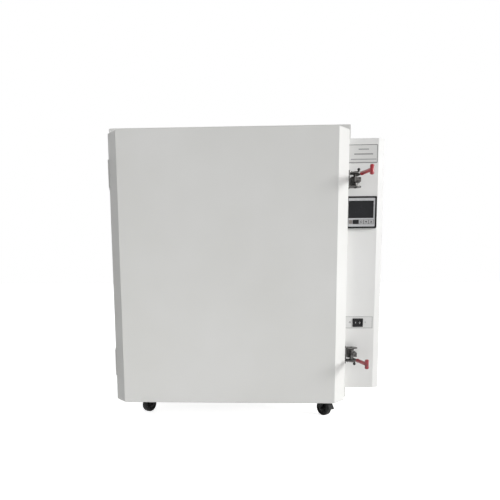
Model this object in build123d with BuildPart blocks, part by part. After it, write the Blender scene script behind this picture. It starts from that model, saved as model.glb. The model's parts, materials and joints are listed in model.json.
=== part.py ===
"""Hot air circulating oven on casters, in millimetres.

The frame: +X to the right, +Y to the back, +Z up, seen by someone who faces the door.
The origin lies on the floor, under the middle of the whole oven.
"""

import os
from math import atan2, cos, degrees, hypot, radians, sin

from build123d import *

os.makedirs("parts", exist_ok=True)

# Cabinet
cab_w = 715.0
cab_h = 815.0
cab_d = 640.0
sheet = 1.5
plate = 2.0
cab_edge_r = 3.0
base_t = 3.0
base_h = 40.0
base_rail_w = 40.0
slack = 0.2
press_air = 0.02

# Chamber
chamber_w = 400.0
chamber_h = 500.0
chamber_d = 430.0
plenum_d = 70.0
liner_t = 1.2
seal_w = 12.0
seal_step = 4.0
seal_air = 0.3

# Door
door_w = 694.0
door_h = 788.0
door_t = 85.0
door_lift = 2.0
bevel_w = 34.0
bevel_d = 40.0
door_skin = 1.5
door_edge_r = 3.0
seal_gap = 3.0
plug_depth = 22.0
plug_air = 4.0

# Hinges
hinge_spread = 560.0
hinge_h = 80.0
knuckle_r = 6.0
hinge_pin_r = 3.5
pin_inset = 2.5
pin_air = 0.4
leaf_t = 2.5
frame_leaf_d = 34.0
door_leaf_d = 35.0
knuckle_air = 0.3
run_air = 0.05

# Latches
latch_upper_z = 649.5
latch_lower_z = 139.0
latch_plate_t = 3.0
latch_plate_d = 41.0
latch_plate_h = 52.0
latch_pivot_out = 22.5
latch_pivot_back = 57.0
latch_pin_r = 4.0
cheek_t = 3.0
cheek_half = 17.5
cheek_d = 32.0
sleeve_r = 6.5
crank_r = 10.0
crank_angle = -100.0
crank_z = 11.0
crank_t = 3.0
eye_r = 5.5
eye_pin_r = 3.0
hook_half = 6.0
hook_shank_x = 9.0
hook_shank_w = 8.0
hook_tip = 9.0
hook_t = 4.0
lip_back = 18.0
lip_t = 3.0
lip_reach = 10.5
keeper_w = 18.0
keeper_h = 26.0
grip_reach = 97.0
grip_lean = 27.0
grip_start = 32.0
stem_r = 5.0
tee_r = 6.0
tee_h = 28.0
tang_r = 1.5
trigger_t = 2.0
trigger_ball_r = 4.0
trigger_rise = 4.5

# Control box
ctrl_w = 99.5
ctrl_h = 744.0
ctrl_d = 560.0
ctrl_lift = 31.0
ctrl_lap = 9.5
ctrl_bevel = 17.0
ctrl_bevel_d = 6.0
label_w = 88.4
label_margin = 2.6
name_h = 52.7
name_z = 731.4
name_t = 1.0
unit_h = 93.3
unit_z = 562.65
unit_t = 8.0
unit_body_air = 2.0
unit_body_h = 87.0
unit_body_d = 60.0
lcd_w = 73.0
lcd_h = 50.0
lcd_t = 1.6
lcd_recess = 2.0
lcd_z = 571.0
lcd_margin = 9.5
key_z = 534.9
key_h = 11.0
key_first_w = 15.6
key_w = 12.7
key_gap = 2.0
key_air = 0.3
key_depth = 5.0
key_proud = 1.2
key_inside = 3.8
switch_h = 37.1
switch_z = 234.35
switch_t = 0.8
rocker_w = 31.0
rocker_h = 25.5
rocker_z = 233.45
rocker_rim = 2.0
rocker_body_w = 27.6
rocker_body_h = 21.6
rocker_body_d = 24.0
rocker_from_right = 62.05
pocket_w = 26.0
pocket_h = 19.0
pocket_d = 16.0
paddle_w = 23.2
paddle_rise = 2.0
paddle_axis_in = 7.0
paddle_tilt = 8.0
paddle_air = 0.3
stub_r = 1.5
relay_w = 44.0
relay_h = 58.0
relay_d = 26.0
sink_w = 80.0
sink_h = 120.0
sink_d = 6.0
gland_lift = 60.0
gland_r = 8.0
gland_nut_r = 12.0
gland_nut_t = 6.0
gland_cap_r = 9.5
gland_cap_l = 12.0
gland_bore_r = 4.5
louvre_l = 60.0
louvre_h = 4.0
louvre_pitch = 14.0
louvre_count = 8

# Air system
fan_r = 90.0
fan_depth = 40.0
fan_air = 14.0
blade_count = 16
blade_t = 1.5
hub_r = 14.0
shaft_r = 6.0
heater_r = 122.0
heater_rod_r = 4.0
heater_pitch = 26.0
motor_r = 62.0
motor_d = 82.0
motor_flange = 150.0
motor_flange_t = 8.0
motor_bore_d = 60.0
cover_w = 260.0
cover_h = 280.0
cover_d = 120.0
cover_lip = 15.0
baffle_t = 1.2
intake_r = 62.0
stack_r = 25.0
stack_wall = 2.0
stack_h = 60.0
stack_back = 300.0
stack_flange_r = 42.0
stack_flange_t = 3.0
hose_l = 30.0
hose_stop_r = 28.0
hose_stop_t = 3.0
damper_z = 14.0
damper_r = 22.0
damper_t = 2.0
spindle_r = 3.0
knob_r = 9.0
knob_t = 14.0
probe_r = 3.0
probe_in = 60.0
probe_back = 25.0
probe_head_r = 8.0
probe_head_t = 12.0

# Shelves
rail_t = 2.0
upright_w = 14.0
runner_w = 8.0
runner_count = 5
shelf_air = 1.5
frame_rod_r = 3.0
wire_r = 1.5
wire_count = 15
shelf_d = 380.0

# Casters
caster_h = 70.0
wheel_r = 25.0
wheel_w = 18.0
axle_r = 4.0
trail = 18.0
caster_plate = 60.0
caster_plate_t = 3.0
kingpin_r = 5.0
crown_r = 22.0
crown_t = 6.5
crown_air = 0.3
leg_t = 2.5
leg_half = 11.0
caster_inset = 72.5
caster_front = 51.5
right_turn = -50.0
left_turn = 59.0
rear_turn = 90.0
pedal_out = 34.0
pedal_z = 50.0
pedal_r = 4.0
pedal_pin_r = 2.4
pedal_t = 3.0
pedal_w = 20.0

# Screws
screw_r = 4.0
screw_t = 2.2

# Places worked out from the sizes
left_out = max(knuckle_r - pin_inset, leaf_t + screw_t)
overall_w = left_out + cab_w + ctrl_w + screw_t
cab_x = -overall_w / 2 + left_out + cab_w / 2
cab_left = cab_x - cab_w / 2
cab_right = cab_x + cab_w / 2
latch_out = grip_reach - latch_pivot_back + tee_r
overall_d = latch_out + door_t + seal_gap + cab_d + cover_d
door_y = -overall_d / 2 + latch_out
door_back = door_y + door_t
cab_y0 = door_back + seal_gap
cab_y1 = cab_y0 + cab_d
cab_z0 = caster_h
cab_z1 = cab_z0 + cab_h
door_z0 = cab_z0 + door_lift
door_z1 = door_z0 + door_h
rim_left = cab_x - door_w / 2
rim_right = cab_x + door_w / 2
chamber_z = (door_z0 + door_z1) / 2
chamber_y0 = cab_y0 + plate
chamber_y1 = chamber_y0 + chamber_d + plenum_d
baffle_y = chamber_y0 + chamber_d
fan_y = baffle_y + fan_air
stack_y = chamber_y0 + stack_back
ctrl_right = cab_right + ctrl_w
ctrl_y0 = cab_y0 - sheet
ctrl_y1 = ctrl_y0 + ctrl_d
ctrl_z0 = cab_z0 + ctrl_lift
ctrl_z1 = ctrl_z0 + ctrl_h
label_right = ctrl_right - ctrl_bevel - label_margin
label_x = label_right - label_w / 2
unit_front = ctrl_y0 - unit_t
unit_body_x0 = cab_right + unit_body_air
unit_body_x1 = label_right - unit_body_air
rocker_x = label_right - rocker_from_right + rocker_w / 2
rocker_front = ctrl_y0 - switch_t - rocker_rim
rocker_axis_y = rocker_front + paddle_axis_in
pin_x = cab_left + pin_inset
pin_y = cab_y0 - knuckle_r - pin_air
hinge_zs = (chamber_z + hinge_spread / 2, chamber_z - hinge_spread / 2)
pivot_x = rim_right + latch_pivot_out
pivot_y = door_y + latch_pivot_back
crank_dx = crank_r * cos(radians(crank_angle))
crank_dy = crank_r * sin(radians(crank_angle))


def block(x0, x1, y0, y1, z0, z1, mode=Mode.ADD):
    """Add or cut a box between two corners."""
    with Locations(((x0 + x1) / 2, (y0 + y1) / 2, (z0 + z1) / 2)):
        Box(x1 - x0, y1 - y0, z1 - z0, mode=mode)


def rod(centre, axis, radius, length, mode=Mode.ADD):
    """Add or cut a round bar, centred, along X, Y or Z."""
    turn = {"x": (0, 90, 0), "y": (90, 0, 0), "z": (0, 0, 0)}[axis]
    with Locations(Location(centre, turn)):
        Cylinder(radius, length, mode=mode)


def bar(start, end, radius, mode=Mode.ADD):
    """Add or cut a round bar between two points."""
    run = Vector(*end) - Vector(*start)
    with Locations(Plane(origin=start, z_dir=run)):
        Cylinder(radius, run.length, align=(Align.CENTER, Align.CENTER, Align.MIN), mode=mode)


def front_plane(y):
    """Upright plane that faces the viewer, with X across and Z up."""
    return Plane(origin=(0, y, 0), x_dir=(1, 0, 0), z_dir=(0, -1, 0))


def outline(points):
    """Face inside a closed run of straight lines."""
    Polygon(*points, align=None)


def write(piece, name):
    """Label a finished piece and write it."""
    piece.part.label = name
    export_step(piece.part, f"parts/{name}.step")


# Cabinet
with BuildPart() as base_frame:
    inner_x = cab_w / 2 - sheet
    block(cab_x - inner_x, cab_x + inner_x, cab_y0 + plate, cab_y1 - plate, cab_z0, cab_z0 + base_t)
    for side in (-1, 1):
        rail_x = cab_x + side * (cab_w / 2 - caster_inset)
        block(
            rail_x - base_rail_w / 2,
            rail_x + base_rail_w / 2,
            cab_y0 + plate,
            cab_y1 - plate,
            cab_z0 + base_t,
            cab_z0 + base_h,
        )
write(base_frame, "base_frame")

with BuildPart() as cabinet_wrap:
    with BuildSketch(front_plane(cab_y0)):
        with Locations((cab_x, cab_z0 + cab_h / 2)):
            Rectangle(cab_w, cab_h)
    extrude(amount=-cab_d)
    top_edges = cabinet_wrap.edges().filter_by(Axis.Y).group_by(Axis.Z)[-1]
    fillet(top_edges, cab_edge_r)
    block(
        cab_left + sheet,
        cab_right - sheet,
        cab_y0,
        cab_y1,
        cab_z0,
        cab_z1 - sheet,
        mode=Mode.SUBTRACT,
    )
    rod((cab_x, stack_y, cab_z1), "z", stack_r + slack, 4 * sheet, mode=Mode.SUBTRACT)
    rod(
        (cab_right, baffle_y + probe_back, chamber_z + chamber_h / 4),
        "x",
        probe_r + slack,
        4 * sheet,
        mode=Mode.SUBTRACT,
    )
write(cabinet_wrap, "cabinet_wrap")

with BuildPart() as front_frame:
    block(cab_left + sheet, cab_right - sheet, cab_y0, cab_y0 + plate, cab_z0, cab_z1 - sheet)
    block(
        cab_x - chamber_w / 2,
        cab_x + chamber_w / 2,
        cab_y0,
        cab_y0 + plate,
        chamber_z - chamber_h / 2,
        chamber_z + chamber_h / 2,
        mode=Mode.SUBTRACT,
    )
write(front_frame, "front_frame")

with BuildPart() as rear_panel:
    block(cab_left + sheet, cab_right - sheet, cab_y1 - plate, cab_y1, cab_z0, cab_z1 - sheet)
    rod((cab_x, cab_y1, chamber_z), "y", shaft_r + 3, 4 * plate, mode=Mode.SUBTRACT)
write(rear_panel, "rear_panel")

with BuildPart() as chamber_liner:
    half_w = chamber_w / 2
    half_h = chamber_h / 2
    block(
        cab_x - half_w - liner_t,
        cab_x + half_w + liner_t,
        chamber_y0,
        chamber_y1 + liner_t,
        chamber_z - half_h - liner_t,
        chamber_z + half_h + liner_t,
    )
    block(
        cab_x - half_w,
        cab_x + half_w,
        chamber_y0,
        chamber_y1,
        chamber_z - half_h,
        chamber_z + half_h,
        mode=Mode.SUBTRACT,
    )
    rod((cab_x, chamber_y1, chamber_z), "y", shaft_r + 2, 4 * liner_t, mode=Mode.SUBTRACT)
    rod((cab_x, stack_y, chamber_z + half_h), "z", stack_r + slack, 4 * liner_t, mode=Mode.SUBTRACT)
    rod(
        (cab_x + half_w, baffle_y + probe_back, chamber_z + chamber_h / 4),
        "x",
        probe_r + slack,
        4 * liner_t,
        mode=Mode.SUBTRACT,
    )
write(chamber_liner, "chamber_liner")

with BuildPart() as insulation_jacket:
    liner_w = chamber_w / 2 + liner_t
    liner_h = chamber_h / 2 + liner_t
    block(
        cab_left + sheet,
        cab_right - sheet,
        cab_y0 + plate,
        cab_y1 - plate,
        cab_z0 + base_h,
        cab_z1 - sheet,
    )
    block(
        cab_x - liner_w,
        cab_x + liner_w,
        cab_y0,
        chamber_y1 + liner_t,
        chamber_z - liner_h,
        chamber_z + liner_h,
        mode=Mode.SUBTRACT,
    )
    rod((cab_x, cab_y1 - cab_d / 4, chamber_z), "y", shaft_r + 8, cab_d / 2, mode=Mode.SUBTRACT)
    rod((cab_x, stack_y, cab_z1 - cab_h / 4), "z", stack_r + slack, cab_h / 2, mode=Mode.SUBTRACT)
    rod(
        (cab_x + cab_w / 4, baffle_y + probe_back, chamber_z + chamber_h / 4),
        "x",
        probe_r + slack,
        cab_w / 2,
        mode=Mode.SUBTRACT,
    )
write(insulation_jacket, "insulation_jacket")

with BuildPart() as chamber_seal:
    with BuildSketch(front_plane(cab_y0)):
        with Locations((cab_x, chamber_z)):
            Rectangle(chamber_w + 2 * (seal_step + seal_w), chamber_h + 2 * (seal_step + seal_w))
            Rectangle(chamber_w + 2 * seal_step, chamber_h + 2 * seal_step, mode=Mode.SUBTRACT)
    extrude(amount=seal_gap - seal_air)
write(chamber_seal, "chamber_seal")

# Shelves and their rails
runner_zs = [
    chamber_z - chamber_h / 2 + chamber_h * (step + 1) / (runner_count + 1)
    for step in range(runner_count)
]
shelf_y0 = chamber_y0 + plug_depth + 10
shelf_y1 = shelf_y0 + shelf_d

with BuildPart() as shelf_rails:
    for side in (-1, 1):
        wall_x = cab_x + side * chamber_w / 2
        upright_x = wall_x - side * rail_t / 2
        runner_x = wall_x - side * (rail_t + runner_w) / 2
        for upright_y in (shelf_y0 + shelf_d / 6, shelf_y1 - shelf_d / 6):
            with Locations((upright_x, upright_y, chamber_z)):
                Box(rail_t, upright_w, chamber_h)
        for runner_z in runner_zs:
            with Locations((runner_x, (shelf_y0 + shelf_y1) / 2, runner_z)):
                Box(rail_t + runner_w, shelf_d, rail_t)
write(shelf_rails, "shelf_rails")


def make_shelf(runner_z, name):
    """Wire shelf whose side rods lie on one pair of runners."""
    side_x = chamber_w / 2 - rail_t - shelf_air - frame_rod_r
    rod_z = runner_z + rail_t / 2 + frame_rod_r
    mid_y = (shelf_y0 + shelf_y1) / 2
    with BuildPart() as shelf:
        for side in (-1, 1):
            rod((cab_x + side * side_x, mid_y, rod_z), "y", frame_rod_r, shelf_d)
            rod(
                (cab_x, mid_y + side * (shelf_d / 2 - frame_rod_r), rod_z),
                "x",
                frame_rod_r,
                2 * side_x,
            )
        rod((cab_x, mid_y, rod_z), "x", wire_r, 2 * side_x)
        pitch = 2 * side_x / (wire_count + 1)
        for step in range(1, wire_count + 1):
            wire_x = cab_x - side_x + step * pitch
            rod((wire_x, mid_y, rod_z + wire_r), "y", wire_r, shelf_d - 2 * frame_rod_r)
    write(shelf, name)


make_shelf(runner_zs[3], "shelf_upper")
make_shelf(runner_zs[1], "shelf_lower")

# Air system
with BuildPart() as air_baffle:
    with BuildSketch(front_plane(baffle_y)):
        with Locations((cab_x, chamber_z)):
            Rectangle(chamber_w, chamber_h)
            Circle(intake_r, mode=Mode.SUBTRACT)
            Circle(hub_r)
            for turn in range(4):
                with Locations(Rotation(0, 0, 45 * turn)):
                    Rectangle(2 * intake_r, 4)
            for ring in (intake_r * 0.42, intake_r * 0.62, intake_r * 0.82):
                Circle(ring + 2)
                Circle(ring - 2, mode=Mode.SUBTRACT)
                Circle(hub_r)
                for turn in range(4):
                    with Locations(Rotation(0, 0, 45 * turn)):
                        Rectangle(2 * ring, 4)
        for side in (-1, 1):
            with Locations((cab_x + side * chamber_w * 0.41, chamber_z)):
                with GridLocations(0, chamber_h / 14, 1, 13):
                    SlotOverall(34, 9, mode=Mode.SUBTRACT)
    extrude(amount=-baffle_t)
write(air_baffle, "air_baffle")

with BuildPart() as heater_elements:
    for step in (-1, 1):
        ring_y = fan_y + fan_depth / 2 + step * heater_pitch / 2
        with Locations(Location((cab_x, ring_y, chamber_z), (90, 0, 0))):
            Torus(heater_r, heater_rod_r)
        for side in (-1, 1):
            leg_z = chamber_z - heater_r
            leg_x = cab_x + side * (12 + 6 * step)
            rod((leg_x, (ring_y + chamber_y1) / 2, leg_z), "y", heater_rod_r, chamber_y1 - ring_y)
write(heater_elements, "heater_elements")

with BuildPart() as fan_wheel:
    with BuildSketch(front_plane(fan_y + fan_depth - blade_t)):
        with Locations((cab_x, chamber_z)):
            Circle(fan_r)
    extrude(amount=-blade_t)
    with BuildSketch(front_plane(fan_y)):
        with Locations((cab_x, chamber_z)):
            Circle(fan_r)
            Circle(fan_r * 0.7, mode=Mode.SUBTRACT)
    extrude(amount=-blade_t)
    with BuildSketch(front_plane(fan_y)):
        with Locations((cab_x, chamber_z)):
            with PolarLocations(fan_r * 0.85, blade_count):
                Rectangle(fan_r * 0.26, blade_t, rotation=35)
    extrude(amount=-(fan_depth - blade_t))
    rod((cab_x, fan_y + fan_depth / 2, chamber_z), "y", hub_r, fan_depth)
    rod(
        (cab_x, fan_y + fan_depth / 2, chamber_z),
        "y",
        shaft_r + press_air,
        2 * fan_depth,
        mode=Mode.SUBTRACT,
    )
write(fan_wheel, "fan_wheel")

shaft_end = cab_y1 + motor_bore_d - 5
with BuildPart() as fan_shaft:
    rod((cab_x, (fan_y + shaft_end) / 2, chamber_z), "y", shaft_r, shaft_end - fan_y)
write(fan_shaft, "fan_shaft")

with BuildPart() as fan_motor:
    flange_y = cab_y1 + motor_flange_t / 2
    with Locations((cab_x, flange_y, chamber_z)):
        Box(motor_flange, motor_flange_t, motor_flange)
    rod((cab_x, cab_y1 + motor_flange_t + motor_d / 2, chamber_z), "y", motor_r, motor_d)
    fillet(fan_motor.faces().sort_by(Axis.Y)[-1].edges(), 6)
    rod(
        (cab_x, cab_y1 + motor_bore_d / 2, chamber_z),
        "y",
        shaft_r + run_air,
        motor_bore_d,
        mode=Mode.SUBTRACT,
    )
write(fan_motor, "fan_motor")

with BuildPart() as motor_cover:
    with BuildSketch(front_plane(cab_y1)):
        with Locations((cab_x, chamber_z)):
            Rectangle(cover_w, cover_h)
    extrude(amount=-cover_d)
    fillet(motor_cover.faces().sort_by(Axis.Y)[-1].edges(), cab_edge_r)
    with BuildSketch(front_plane(cab_y1)):
        with Locations((cab_x, chamber_z)):
            Rectangle(cover_w + 2 * cover_lip, cover_h + 2 * cover_lip)
    extrude(amount=-sheet)
    with BuildSketch(front_plane(cab_y1)):
        with Locations((cab_x, chamber_z)):
            Rectangle(cover_w - 2 * sheet, cover_h - 2 * sheet)
    extrude(amount=-(cover_d - sheet), mode=Mode.SUBTRACT)
    with BuildSketch(front_plane(cab_y1 + cover_d)):
        with Locations((cab_x, chamber_z)):
            with GridLocations(cover_w / 3, louvre_pitch, 2, 12):
                SlotOverall(louvre_l, louvre_h)
    extrude(amount=4 * sheet, mode=Mode.SUBTRACT)
write(motor_cover, "motor_cover")

stack_z0 = chamber_z + chamber_h / 2
stack_z1 = cab_z1 + stack_h
damper_zc = cab_z1 + damper_z
with BuildPart() as exhaust_stack:
    stack_mid = (stack_z0 + stack_z1) / 2
    rod((cab_x, stack_y, stack_mid), "z", stack_r, stack_z1 - stack_z0)
    rod((cab_x, stack_y, cab_z1 + stack_flange_t / 2), "z", stack_flange_r, stack_flange_t)
    stop_zc = stack_z1 - hose_l - hose_stop_t / 2
    rod((cab_x, stack_y, stop_zc), "z", hose_stop_r, hose_stop_t)
    rod(
        (cab_x, stack_y, stack_mid),
        "z",
        stack_r - stack_wall,
        2 * cab_h,
        mode=Mode.SUBTRACT,
    )
    rod(
        (cab_x, stack_y, damper_zc),
        "x",
        spindle_r + run_air,
        4 * stack_r,
        mode=Mode.SUBTRACT,
    )
write(exhaust_stack, "exhaust_stack")

with BuildPart() as vent_damper:
    spindle_l = 2 * stack_r + 30
    rod((cab_x, stack_y, damper_zc), "z", damper_r, damper_t)
    rod((cab_x + 12, stack_y, damper_zc), "x", spindle_r, spindle_l)
    rod((cab_x + 12 + (spindle_l - knob_t) / 2, stack_y, damper_zc), "x", knob_r, knob_t)
write(vent_damper, "vent_damper")

with BuildPart() as temperature_probe:
    probe_y = baffle_y + probe_back
    probe_z = chamber_z + chamber_h / 4
    probe_x0 = cab_x + chamber_w / 2 - probe_in
    rod(((probe_x0 + cab_right) / 2, probe_y, probe_z), "x", probe_r, cab_right - probe_x0)
    rod((cab_right + probe_head_t / 2, probe_y, probe_z), "x", probe_head_r, probe_head_t)
write(temperature_probe, "temperature_probe")

# Door
back_corner = (door_w / 2, door_back)
bevel_corner = (door_w / 2, door_y + bevel_d)
front_corner = (door_w / 2 - bevel_w, door_y)
bevel_len = hypot(bevel_w, bevel_d)
bevel_lead = (bevel_len - bevel_w) / bevel_d
front_lead = (bevel_len - bevel_d) / bevel_w


def door_outline(inset, depth_in):
    """Plan of the door, drawn in from its skin by one inset, cut off short of its back."""
    half = [
        (door_w / 2 - inset, door_back - depth_in),
        (door_w / 2 - inset, door_y + bevel_d + inset * bevel_lead),
        (door_w / 2 - bevel_w - inset * front_lead, door_y + inset),
    ]
    right = [(cab_x + x, y) for x, y in half]
    left = [(cab_x - x, y) for x, y in reversed(half)]
    outline(right + left)


with BuildPart() as door_shell:
    with BuildSketch(Plane.XY.offset(door_z0)):
        door_outline(0, 0)
    extrude(amount=door_h)
    rim_faces = door_shell.faces().sort_by(Axis.Z)
    rims = ShapeList(rim_faces[0].edges() + rim_faces[-1].edges())
    fillet(rims.sort_by(Axis.Y)[:-2], door_edge_r)
    with BuildSketch(Plane.XY.offset(door_z0 + door_skin)):
        door_outline(door_skin, 0)
    extrude(amount=door_h - 2 * door_skin, mode=Mode.SUBTRACT)
write(door_shell, "door_shell")

plug_w = chamber_w - 2 * plug_air
plug_h = chamber_h - 2 * plug_air
with BuildPart() as door_inner_panel:
    panel_w = door_w - 2 * door_skin
    panel_h = door_h - 2 * door_skin
    with BuildSketch(front_plane(door_back)):
        with Locations((cab_x, chamber_z)):
            Rectangle(panel_w, panel_h)
    extrude(amount=door_skin)
    with BuildSketch(front_plane(door_back)):
        with Locations((cab_x, chamber_z)):
            Rectangle(plug_w, plug_h)
    extrude(amount=-plug_depth)
    with BuildSketch(front_plane(door_back + plug_depth - door_skin)):
        with Locations((cab_x, chamber_z)):
            Rectangle(plug_w - 2 * door_skin, plug_h - 2 * door_skin)
    extrude(amount=plug_depth + door_skin, mode=Mode.SUBTRACT)
write(door_inner_panel, "door_inner_panel")

with BuildPart() as door_insulation:
    with BuildSketch(Plane.XY.offset(door_z0 + door_skin)):
        door_outline(door_skin, door_skin)
    extrude(amount=door_h - 2 * door_skin)
    with BuildSketch(front_plane(door_back - door_skin)):
        with Locations((cab_x, chamber_z)):
            Rectangle(plug_w - 2 * door_skin, plug_h - 2 * door_skin)
    extrude(amount=-plug_depth)
write(door_insulation, "door_insulation")

# Hinges
with BuildPart() as hinge_frame_leaves:
    for hinge_z in hinge_zs:
        low = hinge_z - hinge_h / 2
        rod((pin_x, pin_y, (low + hinge_z) / 2), "z", knuckle_r, hinge_h / 2)
        block(cab_left - leaf_t, cab_left, pin_y, cab_y0 + plate, low, hinge_z)
        block(
            cab_left - leaf_t,
            cab_left,
            cab_y0 + plate,
            cab_y0 + plate + frame_leaf_d,
            low,
            low + hinge_h,
        )
        rod((pin_x, pin_y, hinge_z), "z", hinge_pin_r + press_air, hinge_h * 2, mode=Mode.SUBTRACT)
write(hinge_frame_leaves, "hinge_frame_leaves")

with BuildPart() as hinge_pins:
    for hinge_z in hinge_zs:
        low = hinge_z - hinge_h / 2
        rod((pin_x, pin_y, hinge_z - 1), "z", hinge_pin_r, hinge_h - 2)
write(hinge_pins, "hinge_pins")

door_leaf_y1 = door_back - 10
with BuildPart() as hinge_door_leaves:
    for hinge_z in hinge_zs:
        low = hinge_z - hinge_h / 2
        top = hinge_z + hinge_h / 2
        mid = hinge_z + knuckle_air
        rod((pin_x, pin_y, (mid + top) / 2), "z", knuckle_r, top - mid)
        block(rim_left - 4.5, rim_left, door_leaf_y1 - 5, pin_y, mid, top)
        block(rim_left - leaf_t, rim_left, door_leaf_y1 - door_leaf_d, door_leaf_y1, low, top)
        rod((pin_x, pin_y, hinge_z), "z", hinge_pin_r + run_air, hinge_h * 2, mode=Mode.SUBTRACT)
write(hinge_door_leaves, "hinge_door_leaves")


# Latches
grip_length = hypot(grip_lean, grip_reach)
grip_angle = degrees(atan2(-grip_reach, grip_lean))
stem_start = grip_start + sleeve_r
tang_end = grip_length - 3 * tee_r


def arm_point(distance, z):
    """Point on the line of the lever's arm, a distance out from the pivot."""
    share = distance / grip_length
    return (pivot_x + grip_lean * share, pivot_y - grip_reach * share, z)


def make_latch(z, up, suffix):
    """Latch on the door's right rim: base, lever, tee grip, hook and release arm."""
    top = z + up * (cheek_half + cheek_t)
    crank_mid = crank_z + crank_t / 2
    arm_z = z + up * crank_mid

    with BuildPart() as base:
        block(
            rim_right,
            rim_right + latch_plate_t,
            door_back - 2 - latch_plate_d,
            door_back - 2,
            z - latch_plate_h / 2,
            z + latch_plate_h / 2,
        )
        for side in (-1, 1):
            cheek_z = z + side * (cheek_half + cheek_t / 2)
            block(
                rim_right,
                pivot_x,
                pivot_y - cheek_d / 2,
                pivot_y + cheek_d / 2,
                cheek_z - cheek_t / 2,
                cheek_z + cheek_t / 2,
            )
            rod((pivot_x, pivot_y, cheek_z), "z", cheek_d / 2, cheek_t)
        rod((pivot_x, pivot_y, z), "z", latch_pin_r, 2 * cheek_half)
        stud_x = pivot_x - 12
        rod((stud_x, pivot_y, top + up * trigger_t), "z", stub_r, 2 * trigger_t)
    write(base, f"latch_base_{suffix}")

    with BuildPart() as lever:
        for side in (-1, 1):
            sleeve_z = z + side * (crank_z + cheek_half - 0.3) / 2
            rod((pivot_x, pivot_y, sleeve_z), "z", sleeve_r, cheek_half - 0.3 - crank_z)
            link_z = z + side * crank_mid
            with BuildSketch(Plane.XY.offset(link_z - crank_t / 2)):
                with Locations((pivot_x + crank_dx / 2, pivot_y + crank_dy / 2)):
                    SlotCenterToCenter(crank_r, 2 * eye_r, rotation=crank_angle)
            extrude(amount=crank_t)
        rod(
            (pivot_x + crank_dx, pivot_y + crank_dy, z),
            "z",
            eye_pin_r,
            2 * crank_z + crank_t,
        )
        arm_mid = arm_point(stem_start / 2, 0)
        with BuildSketch(Plane.XY.offset(arm_z - crank_t / 2)):
            with Locations((arm_mid[0], arm_mid[1])):
                Rectangle(stem_start, 2 * stem_r, rotation=grip_angle)
        extrude(amount=crank_t)
        bar(arm_point(grip_start, arm_z), arm_point(tang_end, arm_z), tang_r)
        rod((pivot_x, pivot_y, z), "z", latch_pin_r + run_air, 4 * cheek_half, mode=Mode.SUBTRACT)
    write(lever, f"latch_lever_{suffix}")

    with BuildPart() as grip:
        bar(arm_point(stem_start, arm_z), arm_point(grip_length, arm_z), stem_r)
        end = arm_point(grip_length, arm_z)
        rod(end, "z", tee_r, tee_h - 2 * tee_r)
        for side in (-1, 1):
            with Locations((end[0], end[1], arm_z + side * (tee_h / 2 - tee_r))):
                Sphere(tee_r)
        bar(
            arm_point(grip_start, arm_z),
            arm_point(tang_end + press_air, arm_z),
            tang_r + press_air,
            mode=Mode.SUBTRACT,
        )
    write(grip, f"latch_grip_{suffix}")

    with BuildPart() as hook:
        eye_x = pivot_x + crank_dx
        eye_y = pivot_y + crank_dy
        shank_x = pivot_x + hook_shank_x
        tip_y0 = pivot_y + lip_back + 0.3
        tip_y1 = tip_y0 + hook_t
        rod((eye_x, eye_y, z), "z", eye_r, 2 * hook_half)
        block(
            eye_x,
            shank_x + hook_shank_w / 2,
            eye_y - eye_r,
            eye_y + 1,
            z - hook_half,
            z + hook_half,
        )
        block(
            shank_x - hook_shank_w / 2,
            shank_x + hook_shank_w / 2,
            eye_y,
            tip_y1,
            z - hook_half,
            z + hook_half,
        )
        block(
            shank_x - hook_shank_w / 2 - hook_tip,
            shank_x,
            tip_y0,
            tip_y1,
            z - hook_half,
            z + hook_half,
        )
        rod((eye_x, eye_y, z), "z", eye_pin_r + run_air, 4 * hook_half, mode=Mode.SUBTRACT)
    write(hook, f"latch_hook_{suffix}")

    with BuildPart() as trigger:
        plate_z = top + up * (0.3 + trigger_t / 2)
        ball = (pivot_x + 6, pivot_y - 15, top + up * (0.3 + trigger_t + trigger_rise))
        run_x = ball[0] - stud_x
        run_y = ball[1] - pivot_y
        run = hypot(run_x, run_y)
        with BuildSketch(Plane.XY.offset(plate_z - trigger_t / 2)):
            with Locations((stud_x + run_x / 2, pivot_y + run_y / 2)):
                SlotCenterToCenter(run, 7, rotation=degrees(atan2(run_y, run_x)))
            with Locations((stud_x, pivot_y)):
                Circle(stub_r + run_air, mode=Mode.SUBTRACT)
        extrude(amount=trigger_t)
        rod((ball[0], ball[1], (plate_z + ball[2]) / 2), "z", 1.5, abs(ball[2] - plate_z))
        with Locations(ball):
            Sphere(trigger_ball_r)
    write(trigger, f"latch_trigger_{suffix}")


upper_latch_z = door_z0 + latch_upper_z
lower_latch_z = door_z0 + latch_lower_z
make_latch(upper_latch_z, 1, "upper")
make_latch(lower_latch_z, -1, "lower")

with BuildPart() as latch_keepers:
    for latch_z in (upper_latch_z, lower_latch_z):
        lip_x1 = pivot_x + hook_shank_x - hook_shank_w / 2 - 0.5
        lip_x0 = lip_x1 - lip_reach
        lip_y1 = pivot_y + lip_back
        half = keeper_h / 2
        post_x0 = lip_x0 - lip_t
        block(post_x0, lip_x1, lip_y1 - lip_t, lip_y1, latch_z - half, latch_z + half)
        block(post_x0, lip_x0, lip_y1, ctrl_y0, latch_z - half, latch_z + half)
        block(post_x0, post_x0 + keeper_w, ctrl_y0 - lip_t, ctrl_y0, latch_z - half, latch_z + half)
write(latch_keepers, "latch_keepers")

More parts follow.
